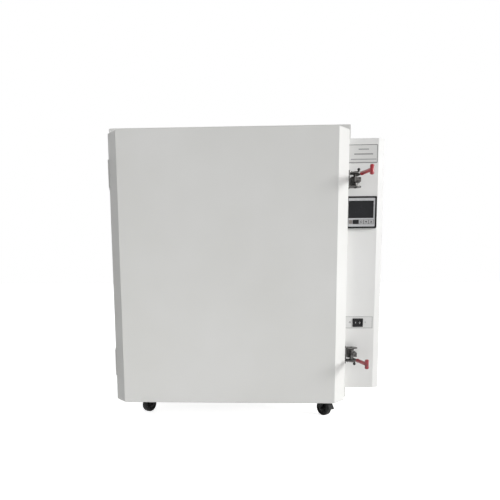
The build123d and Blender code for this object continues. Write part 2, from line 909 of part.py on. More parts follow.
# Control box
casing_plan = [
    (cab_right, ctrl_y0),
    (ctrl_right - ctrl_bevel, ctrl_y0),
    (ctrl_right, ctrl_y0 + ctrl_bevel_d),
    (ctrl_right, ctrl_y1),
    (cab_right, ctrl_y1),
]
with BuildPart() as control_casing:
    with BuildSketch(Plane.XY.offset(ctrl_z0)):
        outline(casing_plan)
    extrude(amount=ctrl_h)
    with BuildSketch(Plane.XY.offset(ctrl_z0 + sheet)):
        outline(casing_plan)
        offset(amount=-sheet, kind=Kind.INTERSECTION)
        with Locations((cab_right + sheet, (ctrl_y0 + ctrl_y1) / 2)):
            Rectangle(2 * sheet, ctrl_d - 2 * sheet)
    extrude(amount=ctrl_h - 2 * sheet, mode=Mode.SUBTRACT)
    block(cab_right - ctrl_lap, cab_right, ctrl_y0, cab_y0, ctrl_z0, ctrl_z1)
    block(
        unit_body_x0 - slack,
        unit_body_x1 + slack,
        ctrl_y0,
        ctrl_y0 + sheet,
        cab_z0 + unit_z - unit_body_h / 2 - slack,
        cab_z0 + unit_z + unit_body_h / 2 + slack,
        mode=Mode.SUBTRACT,
    )
    block(
        rocker_x - rocker_body_w / 2 - slack,
        rocker_x + rocker_body_w / 2 + slack,
        ctrl_y0,
        ctrl_y0 + sheet,
        cab_z0 + rocker_z - rocker_body_h / 2 - slack,
        cab_z0 + rocker_z + rocker_body_h / 2 + slack,
        mode=Mode.SUBTRACT,
    )
    rod(
        (cab_right + ctrl_w / 2, ctrl_y1, ctrl_z0 + gland_lift),
        "y",
        gland_r + slack,
        4 * sheet,
        mode=Mode.SUBTRACT,
    )
    side_plane = Plane(
        origin=(ctrl_right, (ctrl_y0 + ctrl_y1) / 2, ctrl_z0 + ctrl_h / 4),
        x_dir=(0, 1, 0),
        z_dir=(1, 0, 0),
    )
    with BuildSketch(side_plane):
        with GridLocations(louvre_l * 1.5, louvre_pitch, 3, louvre_count):
            SlotOverall(louvre_l, louvre_h)
    extrude(amount=-2 * sheet, mode=Mode.SUBTRACT)
write(control_casing, "control_casing")

with BuildPart() as nameplate:
    with Locations((label_x, ctrl_y0 - name_t / 2, cab_z0 + name_z)):
        Box(label_w, name_t, name_h)
write(nameplate, "nameplate")

keys_right = label_right - lcd_margin
lcd_x = keys_right - lcd_w / 2
lcd_zc = cab_z0 + lcd_z
key_zc = cab_z0 + key_z
key_spans = []
edge_x = keys_right
for width in (key_w, key_w, key_w, key_first_w):
    key_spans.append((edge_x - width, edge_x))
    edge_x = edge_x - width - key_gap
key_names = ("key_up", "key_down", "key_set", "key_power")

with BuildPart() as controller_housing:
    with BuildSketch(front_plane(ctrl_y0)):
        with Locations((label_x, cab_z0 + unit_z)):
            RectangleRounded(label_w, unit_h, 3)
    extrude(amount=unit_t)
    fillet(controller_housing.faces().sort_by(Axis.Y)[0].edges(), 1.0)
    block(
        unit_body_x0,
        unit_body_x1,
        ctrl_y0,
        ctrl_y0 + unit_body_d,
        cab_z0 + unit_z - unit_body_h / 2,
        cab_z0 + unit_z + unit_body_h / 2,
    )
    block(
        lcd_x - lcd_w / 2 - slack,
        lcd_x + lcd_w / 2 + slack,
        unit_front,
        unit_front + lcd_recess,
        lcd_zc - lcd_h / 2 - slack,
        lcd_zc + lcd_h / 2 + slack,
        mode=Mode.SUBTRACT,
    )
    for x0, x1 in key_spans:
        block(
            x0 - key_air,
            x1 + key_air,
            unit_front,
            unit_front + key_depth,
            key_zc - key_h / 2 - key_air,
            key_zc + key_h / 2 + key_air,
            mode=Mode.SUBTRACT,
        )
write(controller_housing, "controller_housing")

with BuildPart() as controller_display:
    with Locations((lcd_x, unit_front + lcd_recess - lcd_t / 2, lcd_zc)):
        Box(lcd_w, lcd_t, lcd_h)
write(controller_display, "controller_display")

for (x0, x1), key_name in zip(key_spans, key_names):
    with BuildPart() as key:
        block(
            x0,
            x1,
            unit_front - key_proud,
            unit_front + key_inside,
            key_zc - key_h / 2,
            key_zc + key_h / 2,
        )
        fillet(key.faces().sort_by(Axis.Y)[0].edges(), 0.6)
    write(key, key_name)

with BuildPart() as switch_plate:
    with Locations((label_x, ctrl_y0 - switch_t / 2, cab_z0 + switch_z)):
        Box(label_w, switch_t, switch_h)
    with Locations((rocker_x, ctrl_y0 - switch_t / 2, cab_z0 + rocker_z)):
        Box(
            rocker_body_w + 2 * slack,
            2 * switch_t,
            rocker_body_h + 2 * slack,
            mode=Mode.SUBTRACT,
        )
write(switch_plate, "switch_plate")

rocker_zc = cab_z0 + rocker_z
with BuildPart() as rocker_housing:
    with BuildSketch(front_plane(rocker_front + rocker_rim)):
        with Locations((rocker_x, rocker_zc)):
            RectangleRounded(rocker_w, rocker_h, 1.5)
    extrude(amount=rocker_rim)
    block(
        rocker_x - rocker_body_w / 2,
        rocker_x + rocker_body_w / 2,
        rocker_front + rocker_rim,
        rocker_front + rocker_rim + rocker_body_d,
        rocker_zc - rocker_body_h / 2,
        rocker_zc + rocker_body_h / 2,
    )
    block(
        rocker_x - pocket_w / 2,
        rocker_x + pocket_w / 2,
        rocker_front,
        rocker_front + pocket_d,
        rocker_zc - pocket_h / 2,
        rocker_zc + pocket_h / 2,
        mode=Mode.SUBTRACT,
    )
    rod((rocker_x, rocker_axis_y, rocker_zc), "z", stub_r + run_air, pocket_h + 2, mode=Mode.SUBTRACT)
write(rocker_housing, "rocker_housing")

paddle_h = pocket_h - 2 * paddle_air
face_in = paddle_axis_in - 0.4
half_paddle = paddle_w / 2
paddle_shape = [
    (-half_paddle, face_in + paddle_rise),
    (0, face_in),
    (half_paddle, face_in + paddle_rise),
    (half_paddle, 0),
    (4, -5),
    (-4, -5),
    (-half_paddle, 0),
]
lean_cos = cos(radians(paddle_tilt))
lean_sin = sin(radians(paddle_tilt))
with BuildPart() as rocker_paddle:
    with BuildSketch(Plane.XY.offset(rocker_zc - paddle_h / 2)):
        outline(
            [
                (
                    rocker_x + u * lean_cos - v * lean_sin,
                    rocker_axis_y - v * lean_cos - u * lean_sin,
                )
                for u, v in paddle_shape
            ]
        )
    extrude(amount=paddle_h)
    rod((rocker_x, rocker_axis_y, rocker_zc), "z", stub_r, pocket_h + 1.6)
write(rocker_paddle, "rocker_paddle")

with BuildPart() as solid_state_relay:
    relay_y = ctrl_y0 + ctrl_d / 2
    relay_z = ctrl_z0 + ctrl_h / 2
    block(
        cab_right,
        cab_right + sink_d,
        relay_y - sink_w / 2,
        relay_y + sink_w / 2,
        relay_z - sink_h / 2,
        relay_z + sink_h / 2,
    )
    block(
        cab_right + sink_d,
        cab_right + sink_d + relay_d,
        relay_y - relay_w / 2,
        relay_y + relay_w / 2,
        relay_z - relay_h / 2,
        relay_z + relay_h / 2,
    )
write(solid_state_relay, "solid_state_relay")

with BuildPart() as cable_gland:
    gland_x = cab_right + ctrl_w / 2
    gland_z = ctrl_z0 + gland_lift
    gland_plane = Plane(origin=(gland_x, ctrl_y1, gland_z), x_dir=(1, 0, 0), z_dir=(0, 1, 0))
    with BuildSketch(gland_plane):
        RegularPolygon(gland_nut_r, 6)
    extrude(amount=gland_nut_t)
    rod((gland_x, ctrl_y1 + gland_nut_t + 5, gland_z), "y", gland_cap_r, gland_cap_l)
    rod((gland_x, ctrl_y1 - 4, gland_z), "y", gland_r, 12)
    rod((gland_x, ctrl_y1, gland_z), "y", gland_bore_r, 60, mode=Mode.SUBTRACT)
write(cable_gland, "cable_gland")


# Casters
def caster_frame(x, y, turn):
    """Plane on the floor under a kingpin, whose X points along the trail."""
    way = (cos(radians(turn)), sin(radians(turn)), 0)
    return Plane(origin=(x, y, 0), x_dir=way, z_dir=(0, 0, 1))


caster_dx = cab_w / 2 - caster_inset
front_y = cab_y0 + caster_front
rear_y = cab_y1 - caster_front
casters = {
    "front_left": (cab_x - caster_dx, front_y, left_turn),
    "front_right": (cab_x + caster_dx, front_y, right_turn),
    "rear_left": (cab_x - caster_dx, rear_y, rear_turn),
    "rear_right": (cab_x + caster_dx, rear_y, rear_turn),
}
plate_z = caster_h - caster_plate_t
crown_z1 = plate_z - crown_air
crown_z0 = crown_z1 - crown_t


def make_bracket(ground, crown_top, with_pedal):
    """Crown, two legs and the axle of one caster, in the caster's own plane."""
    leg_points = [
        (-crown_r * 0.6, crown_top),
        (-crown_r * 0.6, crown_top - crown_t),
        (trail - 8, wheel_r),
        (trail + 8, wheel_r),
        (crown_r * 0.8, crown_top),
    ]
    pedal_points = [
        (crown_r * 0.4, crown_top),
        (trail, wheel_r + 8),
        (pedal_out + 4, pedal_z - 3),
        (pedal_out + 4, pedal_z + 3),
        (crown_r * 0.8, crown_top),
    ]
    centre = ground.from_local_coords((0, 0, crown_top - crown_t / 2))
    with BuildPart() as bracket:
        for side in (-1, 1):
            near = side * (leg_half + leg_t / 2) + leg_t / 2
            leg_plane = Plane(
                origin=ground.from_local_coords((0, near, 0)),
                x_dir=ground.x_dir,
                z_dir=-ground.y_dir,
            )
            with BuildSketch(leg_plane):
                outline(leg_points)
                with Locations((trail, wheel_r)):
                    Circle(8)
                if with_pedal:
                    outline(pedal_points)
                    with Locations((pedal_out, pedal_z)):
                        Circle(5)
                        Circle(pedal_pin_r + run_air, mode=Mode.SUBTRACT)
            extrude(amount=leg_t)
        axle_plane = Plane(
            origin=ground.from_local_coords((trail, leg_half + leg_t + 2, wheel_r)),
            x_dir=ground.x_dir,
            z_dir=-ground.y_dir,
        )
        with BuildSketch(axle_plane):
            Circle(axle_r)
        extrude(amount=2 * (leg_half + leg_t + 2))
        rod(centre, "z", crown_r, crown_t)
        if with_pedal:
            rod(centre, "z", kingpin_r + run_air, 4 * crown_t, mode=Mode.SUBTRACT)
    return bracket.part


rear_brackets = [
    make_bracket(caster_frame(x, y, turn), plate_z, False)
    for name, (x, y, turn) in casters.items()
    if name.startswith("rear")
]

with BuildPart() as caster_mounts:
    for name, (x, y, turn) in casters.items():
        half = caster_plate / 2
        block(x - half, x + half, y - half, y + half, plate_z, caster_h)
        if name.startswith("front"):
            rod((x, y, plate_z - (crown_t + 2) / 2), "z", kingpin_r, crown_t + 2)
            rod((x, y, crown_z0 - 1.5 - crown_air), "z", kingpin_r + 2, 3)
    add(rear_brackets)
write(caster_mounts, "caster_mounts")

for name, (x, y, turn) in casters.items():
    ground = caster_frame(x, y, turn)
    if name.startswith("front"):
        fork = make_bracket(ground, crown_z1, True)
        with BuildPart() as caster_fork:
            add(fork)
        write(caster_fork, f"caster_fork_{name}")

        with BuildPart() as pedal:
            pedal_plane = Plane(
                origin=ground.from_local_coords((0, pedal_w / 2, 0)),
                x_dir=ground.x_dir,
                z_dir=-ground.y_dir,
            )
            with BuildSketch(pedal_plane):
                with Locations((pedal_out, pedal_z)):
                    Circle(pedal_r)
                outline(
                    [
                        (pedal_out, pedal_z + pedal_r),
                        (pedal_out + 12, pedal_z - 10),
                        (pedal_out + 20, pedal_z - 24),
                        (pedal_out + 20 - pedal_t, pedal_z - 24),
                        (pedal_out + 10 - pedal_t, pedal_z - 12),
                        (pedal_out - 1, pedal_z - pedal_r + 1),
                    ]
                )
            extrude(amount=pedal_w)
            pin_plane = Plane(
                origin=ground.from_local_coords((pedal_out, leg_half + leg_t, pedal_z)),
                x_dir=ground.x_dir,
                z_dir=-ground.y_dir,
            )
            with BuildSketch(pin_plane):
                Circle(pedal_pin_r)
            extrude(amount=2 * (leg_half + leg_t))
        write(pedal, f"caster_brake_{name}")

    with BuildPart() as wheel:
        wheel_plane = Plane(
            origin=ground.from_local_coords((trail, wheel_w / 2, wheel_r)),
            x_dir=ground.x_dir,
            z_dir=-ground.y_dir,
        )
        with BuildSketch(wheel_plane):
            Circle(wheel_r)
        extrude(amount=wheel_w)
        fillet(wheel.edges(), 3)
        with BuildSketch(wheel_plane):
            Circle(axle_r + run_air)
        extrude(amount=wheel_w, mode=Mode.SUBTRACT)
    write(wheel, f"caster_wheel_{name}")


# Screws
def screw(centre, axis, sign, radius=screw_r):
    """Head of one screw, seated at the centre and pointing out along the axis."""
    turns = {"x": (0, 90 * sign, 0), "y": (-90 * sign, 0, 0), "z": (90 - 90 * sign, 0, 0)}
    with Locations(Location(centre, turns[axis])):
        Cylinder(radius, screw_t, align=(Align.CENTER, Align.CENTER, Align.MIN))


with BuildPart() as cabinet_screws:
    edge = 20.0
    for row in (cab_z0 + edge, chamber_z, cab_z1 - edge):
        for side in (-1, 1):
            screw((cab_x + side * (cab_w / 2 - edge), cab_y1, row), "y", 1)
    for side in (-1, 1):
        for level in (-1, 1):
            lip_x = cab_x + side * (cover_w + cover_lip) / 2
            lip_z = chamber_z + level * cover_h / 3
            screw((lip_x, cab_y1 + sheet, lip_z), "y", 1)
    for hinge_z in hinge_zs:
        for level in (-1, 1):
            leaf_y = cab_y0 + plate + frame_leaf_d * 0.6
            screw((cab_left - leaf_t, leaf_y, hinge_z + level * hinge_h / 3), "x", -1)
    for row in (ctrl_z0 + edge, (ctrl_z0 + ctrl_z1) / 2, ctrl_z1 - edge):
        for screw_y in (ctrl_y0 + 2 * edge, ctrl_y1 - edge):
            screw((ctrl_right, screw_y, row), "x", 1)
    for x, y, turn in casters.values():
        for side in (-1, 1):
            for level in (-1, 1):
                reach = caster_plate / 2 - screw_r - 1.5
                screw((x + side * reach, y + level * reach, plate_z), "z", -1)
write(cabinet_screws, "cabinet_screws")

with BuildPart() as door_screws:
    for hinge_z in hinge_zs:
        for level in (-1, 1):
            leaf_y = door_leaf_y1 - door_leaf_d * 0.6
            screw((rim_left - leaf_t, leaf_y, hinge_z + level * hinge_h / 3), "x", -1)
    for latch_z in (upper_latch_z, lower_latch_z):
        for level in (-1, 1):
            for screw_y in (door_back - 8, door_back - latch_plate_d + 4):
                latch_row = latch_z + level * (latch_plate_h / 2 - screw_r / 2 - 1)
                screw((rim_right + latch_plate_t, screw_y, latch_row), "x", 1, screw_r / 2)
write(door_screws, "door_screws")
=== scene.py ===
import json
import logging
import math
from dataclasses import dataclass
from enum import Enum
from typing import Iterable, Sequence

import bmesh
import bpy
from mathutils import Matrix, Vector


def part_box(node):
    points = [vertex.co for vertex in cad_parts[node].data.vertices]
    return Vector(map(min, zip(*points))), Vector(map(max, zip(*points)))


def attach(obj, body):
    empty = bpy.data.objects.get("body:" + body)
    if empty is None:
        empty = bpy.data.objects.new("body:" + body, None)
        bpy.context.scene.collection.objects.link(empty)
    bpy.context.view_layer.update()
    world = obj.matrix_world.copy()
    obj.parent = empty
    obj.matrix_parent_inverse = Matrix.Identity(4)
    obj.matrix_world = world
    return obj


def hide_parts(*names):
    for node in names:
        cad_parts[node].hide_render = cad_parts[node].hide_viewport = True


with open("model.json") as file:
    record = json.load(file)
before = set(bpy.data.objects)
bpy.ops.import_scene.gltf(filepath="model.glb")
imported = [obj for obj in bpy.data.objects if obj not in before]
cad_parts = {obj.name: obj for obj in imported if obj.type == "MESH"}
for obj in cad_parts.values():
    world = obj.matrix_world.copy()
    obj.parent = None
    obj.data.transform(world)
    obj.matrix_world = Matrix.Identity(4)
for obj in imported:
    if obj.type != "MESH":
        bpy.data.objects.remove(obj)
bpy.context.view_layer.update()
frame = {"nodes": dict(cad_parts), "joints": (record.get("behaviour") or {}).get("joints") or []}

MM = 0.001
LOG = logging.getLogger("oven")

Point = Sequence[float]
Tree = bpy.types.NodeTree
Socket = bpy.types.NodeSocket
Shape = bmesh.types.BMesh
Piece = bpy.types.Object
Mesh = bpy.types.Mesh


# Shared helpers


def linear(code: str) -> tuple[float, float, float, float]:
    """Turns an sRGB hex colour into linear values.

    Args:
        code: Six hex digits, with or without a leading hash.

    Returns:
        Red, green, blue and alpha.
    """
    digits = code.lstrip("#")
    parts = [int(digits[i : i + 2], 16) / 255 for i in (0, 2, 4)]
    values = [p / 12.92 if p <= 0.04045 else ((p + 0.055) / 1.055) ** 2.4 for p in parts]
    return (*values, 1.0)


def put(
    tree: Tree,
    kind: str,
    settings: dict[str, object] | None = None,
    inputs: dict[str | int, object] | None = None,
) -> bpy.types.Node:
    """Adds a node to a tree, with its settings and its links.

    Args:
        tree: The tree that gets the node.
        kind: Blender's name for the kind of node.
        settings: The node's own properties.
        inputs: Socket names or numbers, each with a value or a socket to link from.

    Returns:
        The new node.
    """
    node = tree.nodes.new(kind)
    for name, value in (settings or {}).items():
        setattr(node, name, value)
    for name, value in (inputs or {}).items():
        socket = node.inputs[name]
        if isinstance(value, Socket):
            tree.links.new(value, socket)
        else:
            socket.default_value = value
    return node


def joint_point(name: str) -> Vector:
    """Gives the place of a joint's axis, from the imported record."""
    return Vector(next(j["pos_m"] for j in frame["joints"] if j["name"] == name))


def joint_axis(name: str) -> Vector:
    """Gives the direction of a joint's axis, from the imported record."""
    return Vector(next(j["axis"] for j in frame["joints"] if j["name"] == name)).normalized()


def turned_to(direction: Point) -> Matrix:
    """Gives the turn that brings +Z to a direction.

    Args:
        direction: Where +Z has to point.

    Returns:
        A 4 by 4 rotation.
    """
    return Vector(direction).to_track_quat("Z", "Y").to_matrix().to_4x4()


def new_object(name: str, mesh: Mesh) -> Piece:
    """Links a new object at the origin that shows a mesh."""
    piece = bpy.data.objects.new(name, mesh)
    bpy.context.scene.collection.objects.link(piece)
    return piece


def mesh_from(name: str, build: Shape, smooth: bool = False) -> Mesh:
    """Turns a bmesh into a mesh with its faces pointing outwards.

    Args:
        name: The mesh's name.
        build: The bmesh, which is freed.
        smooth: Whether its faces are shaded smooth.

    Returns:
        The mesh.
    """
    bmesh.ops.recalc_face_normals(build, faces=build.faces)
    for face in build.faces:
        face.smooth = smooth
    mesh = bpy.data.meshes.new(name)
    build.to_mesh(mesh)
    build.free()
    return mesh


def baked(piece: Piece, name: str) -> Piece:
    """Replaces an object with one whose modifiers are part of its plain mesh.

    Args:
        piece: The object with modifiers, which is removed.
        name: The new object's name.

    Returns:
        The new object, at the origin.
    """
    graph = bpy.context.evaluated_depsgraph_get()
    graph.update()
    mesh = bpy.data.meshes.new_from_object(piece.evaluated_get(graph), depsgraph=graph)
    bpy.data.objects.remove(piece)
    mesh.name = name
    return new_object(name, mesh)


def join(build: Shape, other: Shape) -> None:
    """Adds another bmesh's shape to a bmesh, and frees the other."""
    held = bpy.data.meshes.new("held")
    other.to_mesh(held)
    other.free()
    build.from_mesh(held)


def lathe(profile: Iterable[Point], steps: int = 48) -> Shape:
    """Spins a profile about Z into a closed shell.

    Args:
        profile: Radius and height pairs, from one end of the axis to the other.
        steps: The number of faces around.

    Returns:
        The bmesh.
    """
    build = bmesh.new()
    rings: list[list[bmesh.types.BMVert]] = []
    for radius, height in profile:
        if radius < 1e-7:
            rings.append([build.verts.new((0, 0, height))])
            continue
        angles = [2 * math.pi * k / steps for k in range(steps)]
        rings.append([build.verts.new((radius * math.cos(a), radius * math.sin(a), height)) for a in angles])
    for low, high in zip(rings, rings[1:]):
        for k in range(steps):
            n = (k + 1) % steps
            corners = [low[k % len(low)], low[n % len(low)], high[n % len(high)], high[k % len(high)]]
            face = list(dict.fromkeys(corners))
            if len(face) > 2:
                build.faces.new(face)
    return build


def prism(outline: Sequence[Point], depth: float) -> Shape:
    """Raises a flat outline in XY along Z.

    Args:
        outline: The corners, in order.
        depth: The height of the solid.

    Returns:
        The bmesh.
    """
    build = bmesh.new()
    face = build.faces.new([build.verts.new((x, y, 0)) for x, y in outline])
    raised = bmesh.ops.extrude_face_region(build, geom=[face])
    moved = [v for v in raised["geom"] if isinstance(v, bmesh.types.BMVert)]
    bmesh.ops.translate(build, verts=moved, vec=(0, 0, depth))
    return build


def rounded(width: float, height: float, radius: float, steps: int = 6) -> list[tuple[float, float]]:
    """Gives the outline of a rounded rectangle about the origin.

    Args:
        width: Size along X.
        height: Size along Y.
        radius: The corners' radius.
        steps: Segments in each corner.

    Returns:
        The corners, in order.
    """
    points = []
    for quarter, (sx, sy) in enumerate(((1, 1), (-1, 1), (-1, -1), (1, -1))):
        cx, cy = sx * (width / 2 - radius), sy * (height / 2 - radius)
        for k in range(steps + 1):
            angle = math.pi / 2 * (quarter + k / steps)
            points.append((cx + radius * math.cos(angle), cy + radius * math.sin(angle)))
    return points


def oblong(start: float, end: float, half: float) -> list[tuple[float, float]]:
    """Gives the outline of a rectangle that runs along X, with half its height on each side."""
    return [(start, -half), (end, -half), (end, half), (start, half)]


def frame_band(outer: Sequence[Point], inner: Sequence[Point], depth: float) -> Shape:
    """Raises the band between two outlines of as many corners along Z.

    Args:
        outer: The outer outline.
        inner: The inner outline.
        depth: The band's height.

    Returns:
        The bmesh.
    """
    build = bmesh.new()
    loops = [[build.verts.new((x, y, z)) for x, y in line] for z in (0, depth) for line in (outer, inner)]
    count = len(outer)
    for a, b in ((0, 1), (2, 3), (0, 2), (1, 3)):
        for k in range(count):
            n = (k + 1) % count
            build.faces.new((loops[a][k], loops[a][n], loops[b][n], loops[b][k]))
    return build


def landing(node: str, x: float, z: float) -> Matrix:
    """Finds the front face of a CAD node, seen from the door's side.

    Args:
        node: The node.
        x: Where to look, across.
        z: Where to look, upwards.

    Returns:
        A place just under that face, with +Z out of it and +Y upwards.
    """
    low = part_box(node)[0]
    hit, point, normal, _ = frame["nodes"][node].ray_cast(Vector((x, low.y - 0.1, z)), Vector((0, 1, 0)))
    if not hit:
        raise ValueError(f"nothing of {node} at {x:.3f}, {z:.3f}")
    across = Vector((0, 0, 1)).cross(normal).normalized()
    turn = Matrix((across, normal.cross(across), normal)).transposed().to_4x4()
    return Matrix.Translation(point - normal * 0.05 * MM) @ turn


def front_place(x: float, y: float, z: float) -> Matrix:
    """Turns work drawn flat in XY so that it faces the viewer, at a place in metres."""
    return Matrix.Translation((x, y, z)) @ Matrix.Rotation(math.pi / 2, 4, "X")


# Finishes


class Grain(Enum):
    """The direction that brushed or rolled lines run in."""

    ACROSS = (1, 0, 0)
    DEEP = (0, 1, 0)
    UP = (0, 0, 1)


@dataclass(frozen=True)
class Finish:
    """A surface finish, named for what the real one is and how it was made."""

    name: str
    colour: str
    roughness: float
    metallic: float = 0.0
    specular: float = 0.5

    def shade(self, tree: Tree, spot: Socket, shader: bpy.types.Node) -> None:
        """Adds the finish's own nodes.

        Args:
            tree: The material's tree.
            spot: Object coordinates, in metres.
            shader: The Principled shader.
        """

    def cloud(
        self, tree: Tree, spot: Socket, size_mm: float, detail: float = 3.0
    ) -> Socket:
        """Adds an even noise whose patches have a real size.

        Args:
            tree: The material's tree.
            spot: The coordinates that it follows.
            size_mm: The size of a patch, in millimetres.
            detail: Octaves of finer detail.

        Returns:
            The noise, from 0 to 1.
        """
        noise = put(
            tree,
            "ShaderNodeTexNoise",
            {"normalize": True},
            {"Vector": spot, "Scale": 1 / (size_mm * MM), "Detail": detail, "Roughness": 0.55},
        )
        return noise.outputs["Fac"]

    def between(
        self, tree: Tree, fac: Socket, low: float, high: float
    ) -> Socket:
        """Spreads a noise over a range of values.

        Args:
            tree: The material's tree.
            fac: The noise.
            low: The value at 0.3.
            high: The value at 0.7.

        Returns:
            The value.
        """
        spread = put(
            tree,
            "ShaderNodeMapRange",
            None,
            {"Value": fac, "From Min": 0.3, "From Max": 0.7, "To Min": low, "To Max": high},
        )
        return spread.outputs["Result"]

    def tinted(
        self, tree: Tree, fac: Socket, first: str, second: str
    ) -> Socket:
        """Mixes two colours by a factor.

        Args:
            tree: The material's tree.
            fac: The factor.
            first: The hex colour at 0.
            second: The hex colour at 1.

        Returns:
            The colour.
        """
        mix = put(
            tree,
            "ShaderNodeMix",
            {"data_type": "RGBA"},
            {0: fac, 6: linear(first), 7: linear(second)},
        )
        return mix.outputs[2]

    def mottle(
        self, tree: Tree, fac: Socket, second: str, shader: bpy.types.Node
    ) -> Socket:
        """Colours the surface between the finish's own colour and another, by a noise.

        Args:
            tree: The material's tree.
            fac: The noise.
            second: The other hex colour.
            shader: The Principled shader.

        Returns:
            The noise, spread from 0 to 1.
        """
        spread = self.between(tree, fac, 0.0, 1.0)
        tree.links.new(self.tinted(tree, spread, self.colour, second), shader.inputs["Base Color"])
        return spread

    def vary_roughness(self, tree: Tree, fac: Socket, less: float, more: float, shader: bpy.types.Node) -> None:
        """Spreads the roughness about its own value, by a noise.

        Args:
            tree: The material's tree.
            fac: The noise.
            less: What is added where the noise is low.
            more: What is added where it is high.
            shader: The Principled shader.
        """
        spread = self.between(tree, fac, self.roughness + less, self.roughness + more)
        tree.links.new(spread, shader.inputs["Roughness"])

    def relief(
        self,
        tree: Tree,
        height: Socket,
        depth_mm: float,
        shader: bpy.types.Node,
        strength: float = 1.0,
    ) -> None:
        """Raises the surface by a height, through the shader's normal.

        Args:
            tree: The material's tree.
            height: The height, from 0 to 1.
            depth_mm: How deep it is, in millimetres.
            shader: The Principled shader.
            strength: How much of it shows.
        """
        bump = put(
            tree,
            "ShaderNodeBump",
            None,
            {"Strength": strength, "Distance": depth_mm * MM, "Height": height},
        )
        tree.links.new(bump.outputs["Normal"], shader.inputs["Normal"])

    def material(self) -> bpy.types.Material:
        """Builds the finish's material, once.

        Returns:
            The material.
        """
        known = bpy.data.materials.get(self.name)
        if known:
            return known
        made = bpy.data.materials.new(self.name)
        made.use_nodes = True
        tree = made.node_tree
        tree.nodes.clear()
        spot = put(tree, "ShaderNodeTexCoord").outputs["Object"]
        shader = put(
            tree,
            "ShaderNodeBsdfPrincipled",
            None,
            {
                "Base Color": linear(self.colour),
                "Roughness": self.roughness,
                "Metallic": self.metallic,
                "Specular IOR Level": self.specular,
            },
        )
        self.shade(tree, spot, shader)
        put(tree, "ShaderNodeOutputMaterial", None, {"Surface": shader.outputs["BSDF"]})
        return made


@dataclass(frozen=True)
class PowderCoat(Finish):
    """Powder coated sheet steel: a soft sheen over a fine orange peel, very slightly uneven."""

    shadow_tint: str = "#d0d0cc"
    peel_mm: float = 2.4
    peel_depth_mm: float = 0.05

    def shade(self, tree: Tree, spot: Socket, shader: bpy.types.Node) -> None:
        """Adds the peel, faint handling marks and a slow drift of tone."""
        self.mottle(tree, self.cloud(tree, spot, 260, 2), self.shadow_tint, shader)
        marks = self.cloud(tree, spot, 55, 4)
        self.vary_roughness(tree, marks, -0.04, 0.07, shader)
        peel = self.cloud(tree, spot, self.peel_mm, 1)
        self.relief(tree, peel, self.peel_depth_mm, shader, 0.35)


@dataclass(frozen=True)
class BrushedSteel(Finish):
    """Stainless sheet, belt brushed one way: long fine lines that stretch the highlights."""

    line_mm: float = 0.5
    run_mm: float = 90.0
    grain: Grain = Grain.ACROSS
    dark: str = "#9c9b98"

    def shade(self, tree: Tree, spot: Socket, shader: bpy.types.Node) -> None:
        """Adds the brushed lines to colour, roughness and relief, drawn coarser than the real grit."""
        scale = [1 / (self.run_mm * MM) if part else 1 / (self.line_mm * MM) for part in self.grain.value]
        lines_at = put(tree, "ShaderNodeMapping", {"vector_type": "POINT"}, {"Vector": spot, "Scale": scale})
        lines = put(
            tree,
            "ShaderNodeTexNoise",
            None,
            {"Vector": lines_at.outputs["Vector"], "Scale": 1.0, "Detail": 3.0, "Roughness": 0.6},
        ).outputs["Fac"]
        smudge = self.cloud(tree, spot, 70, 3)
        self.mottle(tree, lines, self.dark, shader)
        rough = put(
            tree,
            "ShaderNodeMath",
            {"operation": "MULTIPLY_ADD"},
            {0: smudge, 1: 0.16, 2: self.roughness - 0.08},
        )
        tree.links.new(rough.outputs["Value"], shader.inputs["Roughness"])
        self.relief(tree, lines, 0.02, shader, 0.4)


@dataclass(frozen=True)
class ZincPlate(Finish):
    """Pressed steel with bright zinc plating: a cloudy bluish grey with dull handling patches."""

    dull: str = "#6e6c69"

    def shade(self, tree: Tree, spot: Socket, shader: bpy.types.Node) -> None:
        """Adds the clouds in the plating and the press marks."""
        self.mottle(tree, self.cloud(tree, spot, 9, 4), self.dull, shader)
        self.vary_roughness(tree, self.cloud(tree, spot, 4, 4), -0.08, 0.1, shader)
        self.relief(tree, self.cloud(tree, spot, 1.2, 2), 0.03, shader, 0.4)


@dataclass(frozen=True)
class Moulded(Finish):
    """Injection moulded plastic: an even spark-eroded grain that softens its highlights."""

    grain_mm: float = 0.8
    worn: str = "#2a2a2b"

    def shade(self, tree: Tree, spot: Socket, shader: bpy.types.Node) -> None:
        """Adds the eroded grain and faint rubbed patches."""
        self.mottle(tree, self.cloud(tree, spot, 14, 3), self.worn, shader)
        self.vary_roughness(tree, self.cloud(tree, spot, 6, 3), -0.05, 0.08, shader)
        self.relief(tree, self.cloud(tree, spot, self.grain_mm, 2), 0.04, shader, 0.5)


@dataclass(frozen=True)
class DippedVinyl(Finish):
    """Steel bar dipped in soft vinyl: glossy, thick, with slow sags in its skin."""

    deep: str = "#8e0a1c"

    def shade(self, tree: Tree, spot: Socket, shader: bpy.types.Node) -> None:
        """Adds the sags and a deeper tone where the skin is thick."""
        sags = self.cloud(tree, spot, 11, 2)
        self.mottle(tree, sags, self.deep, shader)
        shader.inputs["Coat Weight"].default_value = 0.35
        shader.inputs["Coat Roughness"].default_value = 0.15
        self.relief(tree, sags, 0.25, shader, 0.4)


@dataclass(frozen=True)
class DarkWindow(Finish):
    """A printed acrylic window over a display that is off: near black, glossy, faintly blue."""

    glow: str = "#23282f"

    def shade(self, tree: Tree, spot: Socket, shader: bpy.types.Node) -> None:
        """Adds a faint relief and the slow tone of the dead display."""
        self.mottle(tree, self.cloud(tree, spot, 38, 1), self.glow, shader)
        self.relief(tree, self.cloud(tree, spot, 18, 1), 0.02, shader, 0.3)


